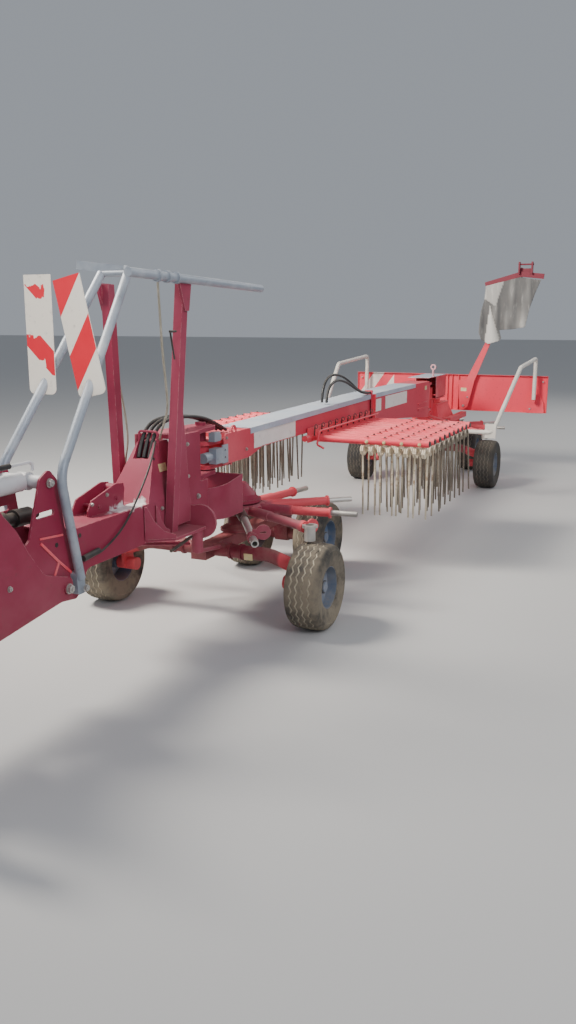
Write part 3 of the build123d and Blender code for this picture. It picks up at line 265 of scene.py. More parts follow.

# Finishes as title, base, faded and bare colour, patch scale, fading, edge wear, dust, roughness and more;
# a word stands for a colour or share in the panel
# On the red paints the pale pink bare colour is a painted highlight along the edges as well as worn paint.
FRONT_RED = ("red", "red_faded", (0.62, 0.30, 0.32),
             2.3, "fading", 1.0, 0.35, 0.46, {"Specular IOR Level": 0.3})
ROTOR_RED = ("red", "red_faded", (0.55, 0.27, 0.28),
             2.3, "fading", 0.9, 0.5, 0.44, {"Specular IOR Level": 0.35})
BOARD_WHITE = ((0.95, 0.88, 0.77), (0.97, 0.93, 0.85), (0.35, 0.20, 0.14),
               6.0, 0.7, 0.5, 0.1, 0.36, {"Bump": 0.0002})
FINISHES = {
    "red_paint": ("Faded red paint", *FRONT_RED),
    "front_frame": ("Front frame red paint", *FRONT_RED),
    "front_rotor": ("Front rotor paint", *ROTOR_RED),
    "rear_rotor": ("Rear rotor paint", *ROTOR_RED),
    "warning_board_left": ("Warning board left", *BOARD_WHITE),
    "warning_board_right": ("Warning board right", *BOARD_WHITE),
    "grimy": ("Grimy red paint", (0.20, 0.014, 0.036), (0.30, 0.045, 0.070), (0.48, 0.22, 0.22),
              4.0, 0.5, 0.7, 0.45, 0.44, {"Specular IOR Level": 0.3}),
    # The beam, bright, swath arm and striped panel reds are lighter copies of the one red paint: painted
    # sunlight on the parts that stand in the sun.
    "beam": ("Beam red paint", (0.58, 0.048, 0.082), (0.76, 0.15, 0.18), (0.66, 0.36, 0.36),
             2.3, 0.7, 0.9, 0.35, 0.45, {"Specular IOR Level": 0.35}),
    "bright": ("Sunlit red paint", (0.80, 0.060, 0.095), (0.90, 0.19, 0.215), (0.72, 0.42, 0.40),
               3.0, 0.7, 0.8, 0.3, 0.42, {"Specular IOR Level": 0.4}),
    "swath_arm": ("Swath arm paint", (0.76, 0.050, 0.085), (0.88, 0.15, 0.18), (0.70, 0.40, 0.38),
                  3.0, 0.6, 0.7, 0.3, 0.42, {"Specular IOR Level": 0.4}),
    "head_cover": ("Head cover", (0.60, 0.060, 0.085), (0.78, 0.26, 0.27), (0.62, 0.42, 0.40),
                   3.5, 0.7, 0.8, 0.4, 0.44, {"Specular IOR Level": 0.3}),
    "rear_panel": ("Striped red panel", (0.78, 0.045, 0.085), (0.88, 0.13, 0.17), (0.55, 0.30, 0.27),
                   1.9, 0.6, 0.7, 0.3, 0.38, {"Coat Weight": 0.15}),
    "galvanised": ("Dull galvanised tube", (0.30, 0.34, 0.40), (0.48, 0.51, 0.55), (0.30, 0.22, 0.17),
                   9.0, 0.8, 0.3, 0.4, 0.42, {"Metallic": 0.25}),
    # Lighter copy of the galvanised tube for the rear guards: painted sunlight.
    "rear_guards": ("Sunlit galvanised tube", (0.60, 0.57, 0.52), (0.80, 0.77, 0.71), (0.42, 0.36, 0.30),
                    9.0, 0.8, 0.3, 0.3, 0.45, {}),
    "cylinder_paint": ("Worn light grey paint", (0.60, 0.61, 0.63), (0.74, 0.74, 0.74), (0.20, 0.12, 0.08),
                       5.0, 0.7, 1.0, 0.6, 0.38, {}),
    "bright_steel": ("Bare steel", (0.50, 0.49, 0.47), (0.66, 0.64, 0.60), (0.28, 0.17, 0.10),
                     14.0, 0.7, 0.6, 0.5, 0.30, {"Metallic": 0.75}),
    # Greasy dark steel, also used for the dark bolts and plugs on the arms and the dark hole discs: painted
    # shade there.
    "dark_steel": ("Greasy dark steel and painted shade", (0.045, 0.042, 0.040), (0.16, 0.14, 0.12), (0.30, 0.24, 0.18),
                   11.0, 0.7, 0.8, 0.7, 0.36, {"Metallic": 0.5}),
    "cover_grey": ("Weathered grey sheet", *GREY_SHEET, (0.34, 0.32, 0.30), 3.5, 0.8, 0.5, 0.5, 0.42, {}),
    "rim_paint": ("Grey-blue rim paint", "rim", (0.22, 0.30, 0.42), (0.25, 0.16, 0.11),
                  8.0, 0.6, 0.7, 0.75, 0.42, {}),
    "tyre_rubber": ("Dusty tyre rubber", (0.020, 0.020, 0.021), (0.065, 0.060, 0.055), (0.16, 0.135, 0.105),
                    6.0, 0.8, 0.5, 1.15, 0.66, {"Dust": (0.30, 0.25, 0.18), "Bump": 0.0008}),
    "black_hose": ("Black hose rubber", (0.016, 0.016, 0.017), (0.05, 0.05, 0.05), (0.10, 0.09, 0.08),
                   12.0, 0.7, 0.2, 0.5, 0.42, {"Bump": 0.0003}),
    "rope": ("Faded cord", (0.42, 0.38, 0.30), (0.62, 0.58, 0.48), (0.28, 0.24, 0.18),
             25.0, 0.8, 0.0, 0.4, 0.85, {}),
    "tine_steel": ("Spring tine steel", (0.62, 0.54, 0.40), (0.80, 0.73, 0.58), (0.24, 0.12, 0.06),
                   16.0, 0.9, 0.3, 0.25, 0.42, {}),
    "cloth": ("Coated grey cloth", (0.055, 0.056, 0.060), (0.13, 0.13, 0.13), (0.4, 0.4, 0.38),
              2.6, 0.9, 0.0, 0.0, 0.62, {"Sheen Weight": 0.15}),
    "white_plate": ("Blank plate", (0.78, 0.72, 0.69), (0.86, 0.83, 0.80), (0.52, 0.20, 0.18),
                    13.0, 0.7, 1.1, 0.5, 0.45, {"Bump": 0.0002}),
    "yellow_plate": ("Blank yellowed plate", (0.62, 0.52, 0.26), (0.78, 0.72, 0.52), (0.42, 0.18, 0.14),
                     20.0, 0.8, 1.0, 0.5, 0.5, {"Bump": 0.0002}),
}

# Nodes that share a finish other than their slot's; those on the bright red take its painted sunlight
SHARED_FINISH = {
    "front_carriage": "grimy", "rear_carriage": "grimy", "main_beam": "beam", "rear_box": "beam",
    "racks": "bright", "tine_arms_left": "bright", "tine_arms_right": "bright", "rear_housing": "bright",
    "guard_arms": "bright",
}


def finish(word):
    """Material of a finish, made when it is first asked for."""
    return bpy.data.materials.get(FINISHES[word][0]) or Finish(word).material


def sunlit_ends(t):
    """Carriages: brighter paint at their outer ends, painted sunlight."""
    outer = t.times(t.step(t.math("ABSOLUTE", t.axis("Y")), 0.375, 0.392), 0.8)
    t.paint(t.mix(outer, t.colour, SUNLIT_RED))


def greasy_disc_and_sunlit_arms(t, pivot):
    """Rotors: a greasy dark disc round the axis, and arms lighter towards their ends, painted sunlight."""
    ragged = t.plus(t.reach(place(pivot, 0, 0), (1, 1, 0)), t.times(t.noise(22.0, 5.0), 0.07))
    paint = t.mix(t.times(t.step(ragged, 0.50, 0.54), 0.85), t.colour, SUNLIT_RED)
    grease = t.mix(t.noise(30.0, 5.0), (0.045, 0.030, 0.028), (0.13, 0.085, 0.07))
    t.paint(t.mix(t.times(t.rest(t.step(ragged, 0.24, 0.33)), 0.9), paint, grease))


def dusty_and_shaded_tyres(t):
    """Tyres: pale dust packed in the grooves, and darker rubber on the rear wheels, painted shade."""
    packed = t.times(t.attribute("groove"), t.step(t.noise(18.0, 4.0), 0.25, 0.50))
    tyre = t.mix(t.times(packed, 0.9), t.colour, (0.55, 0.49, 0.38))
    # Rear wheels darker: painted shade.
    light_and_shade_mask = t.times(t.rest(t.step(t.axis("X"), -0.4, 0.0)), 0.72)
    t.paint(t.mix(light_and_shade_mask, tyre, (0.022, 0.022, 0.024)))


def twisted(t):
    """Cords: the twist of their strands."""
    inputs = {"Vector": t.where("UV"), "Scale": 40.0, "Distortion": 0.5}
    t.bump(t.add("TexWave", inputs, bands_direction="DIAGONAL").outputs["Fac"], 0.0012, 0.8)


def worn_and_shaded_tines(t):
    """Tines: rusted at mid height, rubbed bright below, and darker in the rear rows and on the right, painted
    shade.
    """
    height = t.axis("Z")
    rust = t.step(t.noise(30.0, 5.0), 0.50, 0.66)
    middle = t.times(t.step(height, 0.36, 0.46), t.rest(t.step(height, 0.60, 0.68)))
    tone = t.mix(t.times(rust, t.plus(t.times(middle, 0.5), 0.25)), t.colour, (0.26, 0.135, 0.07))
    polished = t.rest(t.step(height, 0.40, 0.52))
    tone = t.mix(t.times(polished, 0.6), tone, (0.50, 0.45, 0.38))
    # Only the first rows on the left stay light; the rest are darkened as painted shade.
    first_rows = t.step(t.axis("X"), ARM_PLACES[3] + AXLE, ARM_PLACES[0] + AXLE)
    light_and_shade_mask = t.times(first_rows, t.step(t.axis("Y"), -0.1, 0.1))
    t.paint(t.mix(t.times(t.rest(light_and_shade_mask), 0.80), tone, (0.115, 0.095, 0.080)))
    t.fill(t.body.inputs["Metallic"], t.times(polished, 0.5))
    t.fill(t.body.inputs["Roughness"], t.minus(t.rough, t.times(polished, 0.18)))


# Warning boards: middle of the fixing, how far each leans, size and how far they hang below the fixing
BOARD_X, BOARD_Y, BOARD_Z = 0.9807, 0.1062, 1.1726
BOARD_ROLLS = {1: math.radians(12.7), -1: 0.0}
BOARD_WIDTH = 0.118
BOARD_HEIGHT = 0.425
BOARD_HANG = 0.034


def board_bands(t, side):
    """Warning boards: slanting red bands; the right board has lost most of its red film."""
    local = t.vector("SUBTRACT", t.where(), place(BOARD_X, side * BOARD_Y, BOARD_Z))
    roll = BOARD_ROLLS[side]
    across = t.vector("DOT_PRODUCT", local, (0, math.cos(roll), math.sin(roll)))
    up = t.vector("DOT_PRODUCT", local, (0, -math.sin(roll), math.cos(roll)))
    share = t.plus(t.math("DIVIDE", across, BOARD_WIDTH), 0.5)
    down = t.math("DIVIDE", t.minus(BOARD_HEIGHT - BOARD_HANG, up), BOARD_HEIGHT)
    if side > 0:
        line = t.plus(down, t.times(share, 0.30))
        band = t.plus(t.between(line, -0.02, 0.30), t.between(line, 0.63, 0.925), clamp=True)
    else:
        torn = t.times(t.minus(t.noise(48.0, 2.0), 0.5), 0.11)
        torn_across = t.plus(share, torn)
        torn_down = t.plus(down, torn)
        line = t.minus(down, t.times(share, 0.27))
        upper = t.times(t.between(line, -0.30, 0.075), t.between(torn_down, 0.088, 0.20))
        upper = t.times(upper, t.rest(t.step(torn_across, 0.74, 0.76)))
        lower = t.times(t.between(line, 0.36, 0.59), t.between(torn_down, 0.505, 0.83))
        lost = t.times(t.rest(t.step(torn_across, 0.66, 0.67)), t.step(torn_down, 0.70, 0.71))
        band = t.plus(upper, t.times(lower, t.rest(lost)), clamp=True)
    red = t.mix(t.noise(12.0), (0.80, 0.006, 0.030), (0.88, 0.030, 0.050))
    t.paint(t.mix(t.times(band, t.step(t.facing("X"), 0.4, 0.5)), t.colour, red))


# White bands of the rear panel: how steep they lean, how far apart they are and where the first one starts
BAND_SLOPE = 0.72
BAND_PITCH = 0.216
BAND_START = -1.398


def panel_bands(t):
    """Panel: a block of white slanting bands at its upper right."""
    side = t.axis("Y")
    height = t.axis("Z")
    line = t.minus(side, t.times(height, BAND_SLOPE))
    share = t.math("FRACT", t.math("DIVIDE", t.plus(line, 4 * BAND_PITCH - BAND_START), BAND_PITCH))
    inside = t.times(t.between(side, -0.895, -0.548, 0.002), t.step(height, 0.655, 0.657))
    inside = t.times(inside, t.step(line, BAND_START - 0.001, BAND_START + 0.001))
    white = t.mix(t.noise(30.0), (0.80, 0.77, 0.72), (0.66, 0.62, 0.57))
    t.paint(t.mix(t.times(t.rest(t.step(share, 0.505, 0.515)), inside), t.colour, white))


def pale_top_patch(t):
    """Front frame: a pale patch on top, behind the latch."""
    ragged = t.plus(t.reach(place(0.70, 0.060, 0.680), (4.6, 16.0, 25.0)), t.times(t.noise(40.0, 5.0), 1.1))
    pale_patch_colour = t.mix(t.noise(60.0), (0.62, 0.58, 0.58), (0.80, 0.76, 0.76))
    t.paint(t.mix(t.rest(t.step(ragged, 1.0, 1.25)), t.colour, pale_patch_colour))


def grey_top_and_lit_front(t):
    """Head cover: grey sheet on top and a pale painted highlight on the front faces over bleached red sides.
    """
    height = t.axis("Z")
    # Front faces paler: painted highlight.
    front = t.times(t.step(t.facing("X"), 0.5, 0.6), t.step(height, 0.82, 0.84))
    sides = t.mix(t.times(front, 0.75), t.colour, (0.62, 0.40, 0.44))
    top = t.times(t.step(t.facing("Z"), 0.4, 0.5), t.step(height, 0.90, 0.91))
    t.paint(t.mix(top, sides, t.mix(t.noise(6.0), *GREY_SHEET)))


def shaded_bar(t):
    """Swath arm: dark red along the cloth's bar, painted shade."""
    t.paint(t.mix(t.step(t.axis("Z"), 1.655, 1.665), t.colour, (0.20, 0.020, 0.040)))


def creased(t):
    """Cloth: a fine weave, pale creases and a pale flap."""
    where = t.where("UV")
    threads = {"Vector": where, "Scale": 60.0}
    warp, weft = (t.add("TexWave", threads, bands_direction=way).outputs["Fac"] for way in "XY")
    t.bump(t.plus(t.times(warp, weft), t.times(t.noise(4.0, 6.0, vector=where), 3.0)), 0.0012, 0.5)
    stretched = t.add("Mapping", {"Vector": where, "Scale": (9.0, 1.6, 1.0)}).outputs[0]
    streaks = t.times(t.step(t.noise(4.0, 5.0, 0.6, stretched), 0.52, 0.72), 0.22)
    t.paint(t.mix(t.plus(t.attribute("pale"), streaks, clamp=True), t.colour, (0.60, 0.59, 0.56)))


WORKED_OVER = {
    "front_frame": pale_top_patch, "grimy": sunlit_ends, "swath_arm": shaded_bar, "head_cover": grey_top_and_lit_front,
    "rear_panel": panel_bands, "tyre_rubber": dusty_and_shaded_tyres, "rope": twisted, "tine_steel": worn_and_shaded_tines,
    "cloth": creased,
    "front_rotor": lambda t: greasy_disc_and_sunlit_arms(t, 0.0), "rear_rotor": lambda t: greasy_disc_and_sunlit_arms(t, REAR_PIVOT),
    "warning_board_left": lambda t: board_bands(t, 1), "warning_board_right": lambda t: board_bands(t, -1),
}


# Mesh helpers
def new_object(name, data):
    """Put a mesh, curve, lamp or camera in the scene."""
    thing = bpy.data.objects.new(name, data)
    bpy.context.scene.collection.objects.link(thing)
    return thing


def make_piece(name, bm, body, word, smooth=math.radians(35), outward=True):
    """Turn a bmesh into a piece with a finish that rides on a body."""
    if outward:
        bmesh.ops.recalc_face_normals(bm, faces=bm.faces)
    mesh = bpy.data.meshes.new(name)
    bm.to_mesh(mesh)
    bm.free()
    piece = new_object(name, mesh)
    mesh.materials.append(finish(word))
    mesh.shade_smooth()
    mesh.set_sharp_from_angle(angle=smooth)
    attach(piece, body)
    return piece


def join(bm, part, at=Matrix()):
    """Take another bmesh's shape into this one, moved by a matrix."""
    mesh = bpy.data.meshes.new("part")
    part.to_mesh(mesh)
    mesh.transform(at)
    bm.from_mesh(mesh)
    bpy.data.meshes.remove(mesh)


def edges_of(verts):
    return list({edge for vert in verts for edge in vert.link_edges})


def set_at(centre, axis):
    """Matrix that takes the origin to a centre and +Z to an axis."""
    return Matrix.Translation(centre) @ Vector(axis).to_track_quat("Z", "Y").to_matrix().to_4x4()


def add_round(bm, centre, axis, radius, length, sides=16, top=None, bevel=0.0):
    """Cylinder or cone about its own middle."""
    made = bmesh.ops.create_cone(bm, cap_ends=True, cap_tris=False, segments=sides, radius1=radius,
                                 radius2=radius if top is None else top, depth=length,
                                 matrix=set_at(centre, axis))
    if bevel:
        rim = [edge for edge in edges_of(made["verts"]) if edge.calc_face_angle(0) > math.radians(69)]
        bmesh.ops.bevel(bm, geom=rim, offset=bevel, segments=1, affect="EDGES", profile=0.5, material=-1)


def add_block(bm, low, high, bevel):
    """Box between two corners with bevelled edges."""
    size = Matrix.Diagonal((*(high - low), 1.0))
    made = bmesh.ops.create_cube(bm, size=1.0, matrix=Matrix.Translation((low + high) / 2) @ size)
    bmesh.ops.bevel(bm, geom=edges_of(made["verts"]), offset=bevel, segments=1, affect="EDGES", profile=0.5,
                    material=-1)


def add_strip(bm, start, end, width, thickness, out):
    """Flat bar between two places, its width square to the way it faces."""
    start, end = place(*start), place(*end)
    along = (end - start).normalized()
    across = Vector(out).cross(along).normalized()
    at = Matrix((along, across, along.cross(across))).transposed().to_4x4()
    at.translation = (start + end) / 2
    size = Matrix.Diagonal(((end - start).length, width, thickness, 1.0))
    bmesh.ops.create_cube(bm, size=1.0, matrix=at @ size)


def add_rod(bm, start, end, radius):
    """Round bar between two places."""
    start, end = place(*start), place(*end)
    add_round(bm, (start + end) / 2, end - start, radius, (end - start).length, 12)


def add_bolt(bm, centre, axis, size):
    """Washer, hexagon head and stud end, seen from the head's side."""
    axis = Vector(axis).normalized()
    add_round(bm, centre + axis * size * 0.08, axis, size * 1.05, size * 0.16)
    add_round(bm, centre + axis * size * 0.50, axis, size * 0.86, size * 0.70, 6, bevel=size * 0.10)
    add_round(bm, centre + axis * size * 0.98, axis, size * 0.42, size * 0.30, 10, top=size * 0.34)


def add_ring(bm, centre, axis, ring_radius, wire_radius, steps, sides=6):
    """Round wire bent to a ring."""
    start = Matrix.Translation((ring_radius, 0, 0)) @ Matrix.Rotation(math.pi / 2, 4, "X")
    wire = bmesh.ops.create_circle(bm, segments=sides, radius=wire_radius,
                                   matrix=set_at(centre, axis) @ start)["verts"]
    bmesh.ops.spin(bm, geom=wire + edges_of(wire), cent=centre, axis=Vector(axis), angle=math.tau,
                   steps=steps, use_merge=True, use_duplicate=False)


# Route of every cord: the same points as the frame's, X and Z alone for the hoses over the hinge
HOSE, CABLE, ROPE = 0.016, 0.008, 0.009
HINGE_HOSES = [(0.488, 0.842), (0.458, 0.918), (0.402, 0.972), (0.300, 0.990), (0.150, 0.984), (0.0, 0.961),
               (-0.112, 0.922), (-0.205, 0.884)]
HINGE_HOSE_SIDES = (-0.026, 0.0, 0.026)
BEAM_HOSES = [
    [(-1.506, 0.014, 0.906), (-1.510, 0.014, 0.972), (-1.580, 0.012, 1.044), (-1.700, 0.010, 1.068),
     (-1.850, 0.014, 1.050), (-1.985, 0.024, 1.002), (-2.085, 0.038, 0.948), (-2.165, 0.052, 0.922),
     (-2.229, 0.058, 0.919)],
    [(-1.506, 0.044, 0.906), (-1.512, 0.044, 0.958), (-1.576, 0.043, 1.012), (-1.690, 0.042, 1.034),
     (-1.830, 0.046, 1.016), (-1.950, 0.058, 0.972), (-2.055, 0.074, 0.932), (-2.150, 0.080, 0.919),
     (-2.229, 0.082, 0.918)],
]
SIDE_CABLE = [(1.060, 0.106, 0.566), (1.000, 0.112, 0.556), (0.920, 0.107, 0.574), (0.840, 0.111, 0.612),
              (0.765, 0.106, 0.660), (0.704, 0.108, 0.726), (0.640, 0.100, 0.780), (0.580, 0.086, 0.826),
              (0.520, 0.068, 0.872), (0.470, 0.046, 0.908)]
ROPES = [
    [(0.672, 0.205, 1.543), (0.664, 0.206, 1.430), (0.652, 0.203, 1.320), (0.630, 0.197, 1.230),
     (0.600, 0.187, 1.140), (0.566, 0.171, 1.060), (0.524, 0.122, 0.985), (0.486, 0.084, 0.945),
     (0.452, 0.058, 0.918)],
    [(0.427, -0.165, 1.290), (0.404, -0.176, 1.200), (0.380, -0.172, 1.090), (0.372, -0.158, 0.980),
     (0.366, -0.156, 0.880), (0.376, -0.172, 0.790), (0.388, -0.150, 0.700), (0.390, -0.104, 0.660)],
]


def route_curve(name, points, diameter):
    """Smooth curve whose control points are the route's points."""
    data = bpy.data.curves.new(name, "CURVE")
    data.dimensions = "3D"
    data.resolution_u = 10
    data.bevel_depth = diameter / 2
    data.bevel_resolution = 4
    data.use_fill_caps = True
    spline = data.splines.new("NURBS")
    spline.points.add(len(points) - 1)
    for point, spot in zip(spline.points, points):
        point.co = (*place(*spot), 1.0)
    spline.order_u = 3
    spline.use_endpoint_u = True
    return new_object(name, data)


def curve_mesh(piece):
    """The curve as a mesh."""
    bpy.context.view_layer.update()
    return bpy.data.meshes.new_from_object(piece.evaluated_get(bpy.context.evaluated_depsgraph_get()))


def curve_points(piece):
    """Points along the curve's own line, with no thickness."""
    depth = piece.data.bevel_depth
    piece.data.bevel_depth = 0.0
    line = curve_mesh(piece)
    points = [vert.co.copy() for vert in line.vertices]
    bpy.data.meshes.remove(line)
    piece.data.bevel_depth = depth
    bpy.context.view_layer.update()
    return points


def lay_cord(name, route, diameter, node, body, word):
    """One cord as a curve piece."""
    piece = route_curve(name, route, diameter)
    piece.data.materials.append(finish(word))
    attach(piece, body)
    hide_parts(node)
    line = curve_points(piece)


def lay_hinge_hose(index, side):
    """One hose over the front hinge, as a mesh between the frame and the beam."""
    guide = route_curve(f"hinge_hose_guide_{index}", [(x, side, z) for x, z in HINGE_HOSES], HOSE)
    line = curve_points(guide)
    mesh = curve_mesh(guide)
    bpy.data.objects.remove(guide)
    mesh.materials.append(finish("black_hose"))
    mesh.shade_smooth()
    piece = new_object(f"hinge_hose_{index}", mesh)
    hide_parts("hinge_hoses")
    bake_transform(piece)


class RakePaint(bpy.types.PropertyGroup):
    """Colours that a user would change."""

    red: FloatVectorProperty(name="Red paint", description="Base colour of the machine's paint",
                             subtype="COLOR", size=3, default=(0.265, 0.021, 0.055))
    red_faded: FloatVectorProperty(name="Faded red", description="Colour of sun-bleached paint",
                                   subtype="COLOR", size=3, default=(0.43, 0.095, 0.150))
    rim: FloatVectorProperty(name="Rim paint", description="Colour of the wheel rims",
                             subtype="COLOR", size=3, default=(0.085, 0.14, 0.24))
    fading: FloatProperty(name="Fading", description="How far the paint has bleached", min=0.0, max=1.0,
                          default=0.6, subtype="FACTOR")


class RakeWheels(bpy.types.PropertyGroup):
    """Sizes of the tyres and their tread."""

    groove_depth: FloatProperty(name="Groove depth", description="Depth of the tread's grooves",
                                unit="LENGTH", default=0.0035)
    groove_width: FloatProperty(name="Groove width", description="Width of the tread's grooves",
                                unit="LENGTH", default=0.008)
    zigzag: FloatProperty(name="Zigzag", description="Side step of the grooves",
                          unit="LENGTH", default=0.005)
    steps: IntProperty(name="Steps round the tyre", description="Even number of steps round a tyre",
                       default=56)


class RakeTines(bpy.types.PropertyGroup):
    """Sizes of the spring tines."""

    wire: FloatProperty(name="Wire radius", description="Radius of the tine's wire", unit="LENGTH",
                        default=0.0060)
    coil: FloatProperty(name="Coil radius", description="Radius of the coil's middle line", unit="LENGTH",
                        default=0.0255)
    length: FloatProperty(name="Leg length", description="Length of a tine's leg below its coil",
                          unit="LENGTH", default=0.380)


class RakeStage(bpy.types.PropertyGroup):
    """Camera and floor."""

    camera_place: FloatVectorProperty(name="Camera place", description="Where the camera stands", size=3,
                                      subtype="TRANSLATION", default=(5.2265, 2.044, 1.408))
    camera_lens: FloatProperty(name="Lens", description="Focal length in millimetres", default=31.64)
    camera_pitch: FloatProperty(name="Pitch", description="How far the camera looks down", subtype="ANGLE",
                                default=math.radians(12.10))
    camera_heading: FloatVectorProperty(name="Heading", description="Level direction of the view", size=3,
                                        subtype="DIRECTION", default=(-0.9164, -0.4003, 0.0))
    floor: FloatVectorProperty(name="Floor", description="Colour of the floor", subtype="COLOR", size=3,
                               default=(0.50, 0.50, 0.50))


class RAKE_OT_cords(bpy.types.Operator):
    """Hoses, cable and ropes along their routes"""

    bl_idname = "rake.cords"
    bl_label = "Cords"

    def execute(self, context):
        for index, side in enumerate(HINGE_HOSE_SIDES):
            lay_hinge_hose(index, side)
        for index, route in enumerate(BEAM_HOSES):
            lay_cord(f"beam_hose_{index}", route, HOSE, "beam_hoses", "beam", "black_hose")
        lay_cord("side_cable_cord", SIDE_CABLE, CABLE, "side_cable", "chassis", "black_hose")
        for index, route in enumerate(ROPES):
            lay_cord(f"rope_{index}", route, ROPE, "ropes", "chassis", "rope")
        return {"FINISHED"}


class RAKE_OT_finishes(bpy.types.Operator):
    """Give every solid of the frame its finish"""

    bl_idname = "rake.finishes"
    bl_label = "Finishes"

    def execute(self, context):
        for row in frame["record"]["subparts"]:
            node = row["node"]
            word = node if node in FINISHES else SHARED_FINISH.get(node, row["material_slot"])
            mesh = NODES[node].data
            mesh.materials.clear()
            mesh.materials.append(finish(word))
        return {"FINISHED"}


# Tyre: radius and crown of the tread, offsets of its grooves and half width that they zigzag over
TYRE_RADIUS = 0.203
TREAD_CURVE = 1.6
GROOVES = (0.0435, 0.0145, -0.0145, -0.0435)
GROOVE_SLOPE = 0.0014
TREAD_EDGE = 0.055
# Half section below the tread as radius and offset, from the bead to the shoulder
TYRE_WALL = [(0.0985, 0.0700), (0.1040, 0.0725), (0.1120, 0.0750), (0.1200, 0.0765), (0.1290, 0.0780),
             (0.1500, 0.0815), (0.1650, 0.0820), (0.1660, 0.0835), (0.1740, 0.0832), (0.1750, 0.0815),
             (0.1860, 0.0785), (0.1935, 0.0715), (0.1975, 0.0620)]


def crown(offset):
    """Radius of the tread at an offset from the tyre's middle."""
    return TYRE_RADIUS - TREAD_CURVE * offset * offset


def tyre_profile(wheels):
    """Section of the tyre as radius and offset, from bead to bead over the tread."""
    half = wheels.groove_width / 2
    tread = []
    for middle in GROOVES:
        top, floor = crown(middle), crown(middle) - wheels.groove_depth
        tread += [(top, middle + half), (floor, middle + half - GROOVE_SLOPE),
                  (floor, middle - half + GROOVE_SLOPE), (top, middle - half)]
    return TYRE_WALL + tread + [(radius, -offset) for radius, offset in reversed(TYRE_WALL)]


def make_tyre(centre, wheels):
    """Tyre with four zigzag grooves, closed inside its beads."""
    bm = bmesh.new()
    outline = [bm.verts.new(centre + Vector((0, offset, radius))) for radius, offset in tyre_profile(wheels)]
    edges = [bm.edges.new(pair) for pair in zip(outline, outline[1:] + outline[:1])]
    bmesh.ops.spin(bm, geom=outline + edges, cent=centre, axis=SIDE, angle=math.tau, steps=wheels.steps,
                   use_merge=True, use_duplicate=False)
    bmesh.ops.remove_doubles(bm, verts=bm.verts, dist=0.00005)
    pitch = math.tau / wheels.steps
    groove = bm.verts.layers.float.new("groove")
    for vert in bm.verts:
        local = vert.co - centre
        radius = math.hypot(local.x, local.z)
        if abs(local.y) > TREAD_EDGE or radius < 0.185:
            continue
        if radius < crown(local.y) - wheels.groove_depth / 2:
            vert[groove] = 1.0
        odd = round(math.atan2(local.x, local.z) / pitch) % 2
        vert.co.y += wheels.zigzag if odd else -wheels.zigzag
    return bm


# Wheels: how far the outer and inner ones stand behind the pivot and to the side
OUTER_SETBACK, OUTER_SIDE = 0.050, 0.560
INNER_SETBACK, INNER_SIDE = 0.950, 0.216
# Wheel bolts: number, circle that they stand on, turn of the first one and half width across the head
WHEEL_BOLTS = 5
BOLT_CIRCLE = 0.050
BOLT_TURN = 0.3
BOLT_SIZE = 0.0095


def wheels_of(end, pivot):
    """One carriage's wheels as name, endings of the body's and node's names, and places in X and Y."""
    outer, inner = pivot - OUTER_SETBACK, pivot - INNER_SETBACK
    return [(end + "_left", "_wheel", "_tyre", [(outer, OUTER_SIDE)]),
            (end + "_right", "_wheel", "_tyre", [(outer, -OUTER_SIDE)]),
            (end + "_inner", "_wheels", "_tyres", [(inner, INNER_SIDE), (inner, -INNER_SIDE)])]


def add_wheel_bolts(bm, centre, side):
    """Wheel bolts, valve and the ring round the hub, on the wheel's outer face."""
    for index in range(WHEEL_BOLTS):
        angle = math.tau * index / WHEEL_BOLTS + BOLT_TURN
        spot = Vector((BOLT_CIRCLE * math.cos(angle), side * 0.0042, BOLT_CIRCLE * math.sin(angle)))
        add_bolt(bm, centre + spot, (0, side, 0), BOLT_SIZE)
    valve = centre + Vector((0.082, side * 0.020, 0.030))
    add_round(bm, valve, (0.2, side, 0.1), 0.0042, 0.030, 10, top=0.0030)
    add_ring(bm, centre + Vector((0, side * 0.0445, 0)), SIDE, 0.0285, 0.0022, 24)


class RAKE_OT_wheels(bpy.types.Operator):
    """Tyres with their tread, wheel bolts and valves"""

    bl_idname = "rake.wheels"
    bl_label = "Wheels"

    def execute(self, context):
        for name, body, node, places in wheels_of("front", 0.0) + wheels_of("rear", REAR_PIVOT):
            tyres = bmesh.new()
            bolts = bmesh.new()
            for x, y in places:
                centre = place(x, y, TYRE_RADIUS)
                part = make_tyre(centre, context.scene.rake_wheels)
                join(tyres, part)
                part.free()
                add_wheel_bolts(bolts, centre, 1 if y > 0 else -1)
            piece = make_piece(name + "_treads", tyres, name + body, "tyre_rubber")
            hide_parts(name + node)
            make_piece(name + "_bolts", bolts, name + body, "dark_steel")
        return {"FINISHED"}


# A tine's coil: turns, steps along them, length of one coil and gap to the middle
COIL_TURNS = 2.25
COIL_STEPS = 18
COIL_LENGTH = 0.024
COIL_GAP = 0.012
# A leg's two lengths as a share of the whole, and how far each thins the wire
LEG_TAPERS = ((0.48, 0.97), (0.52, 0.90))


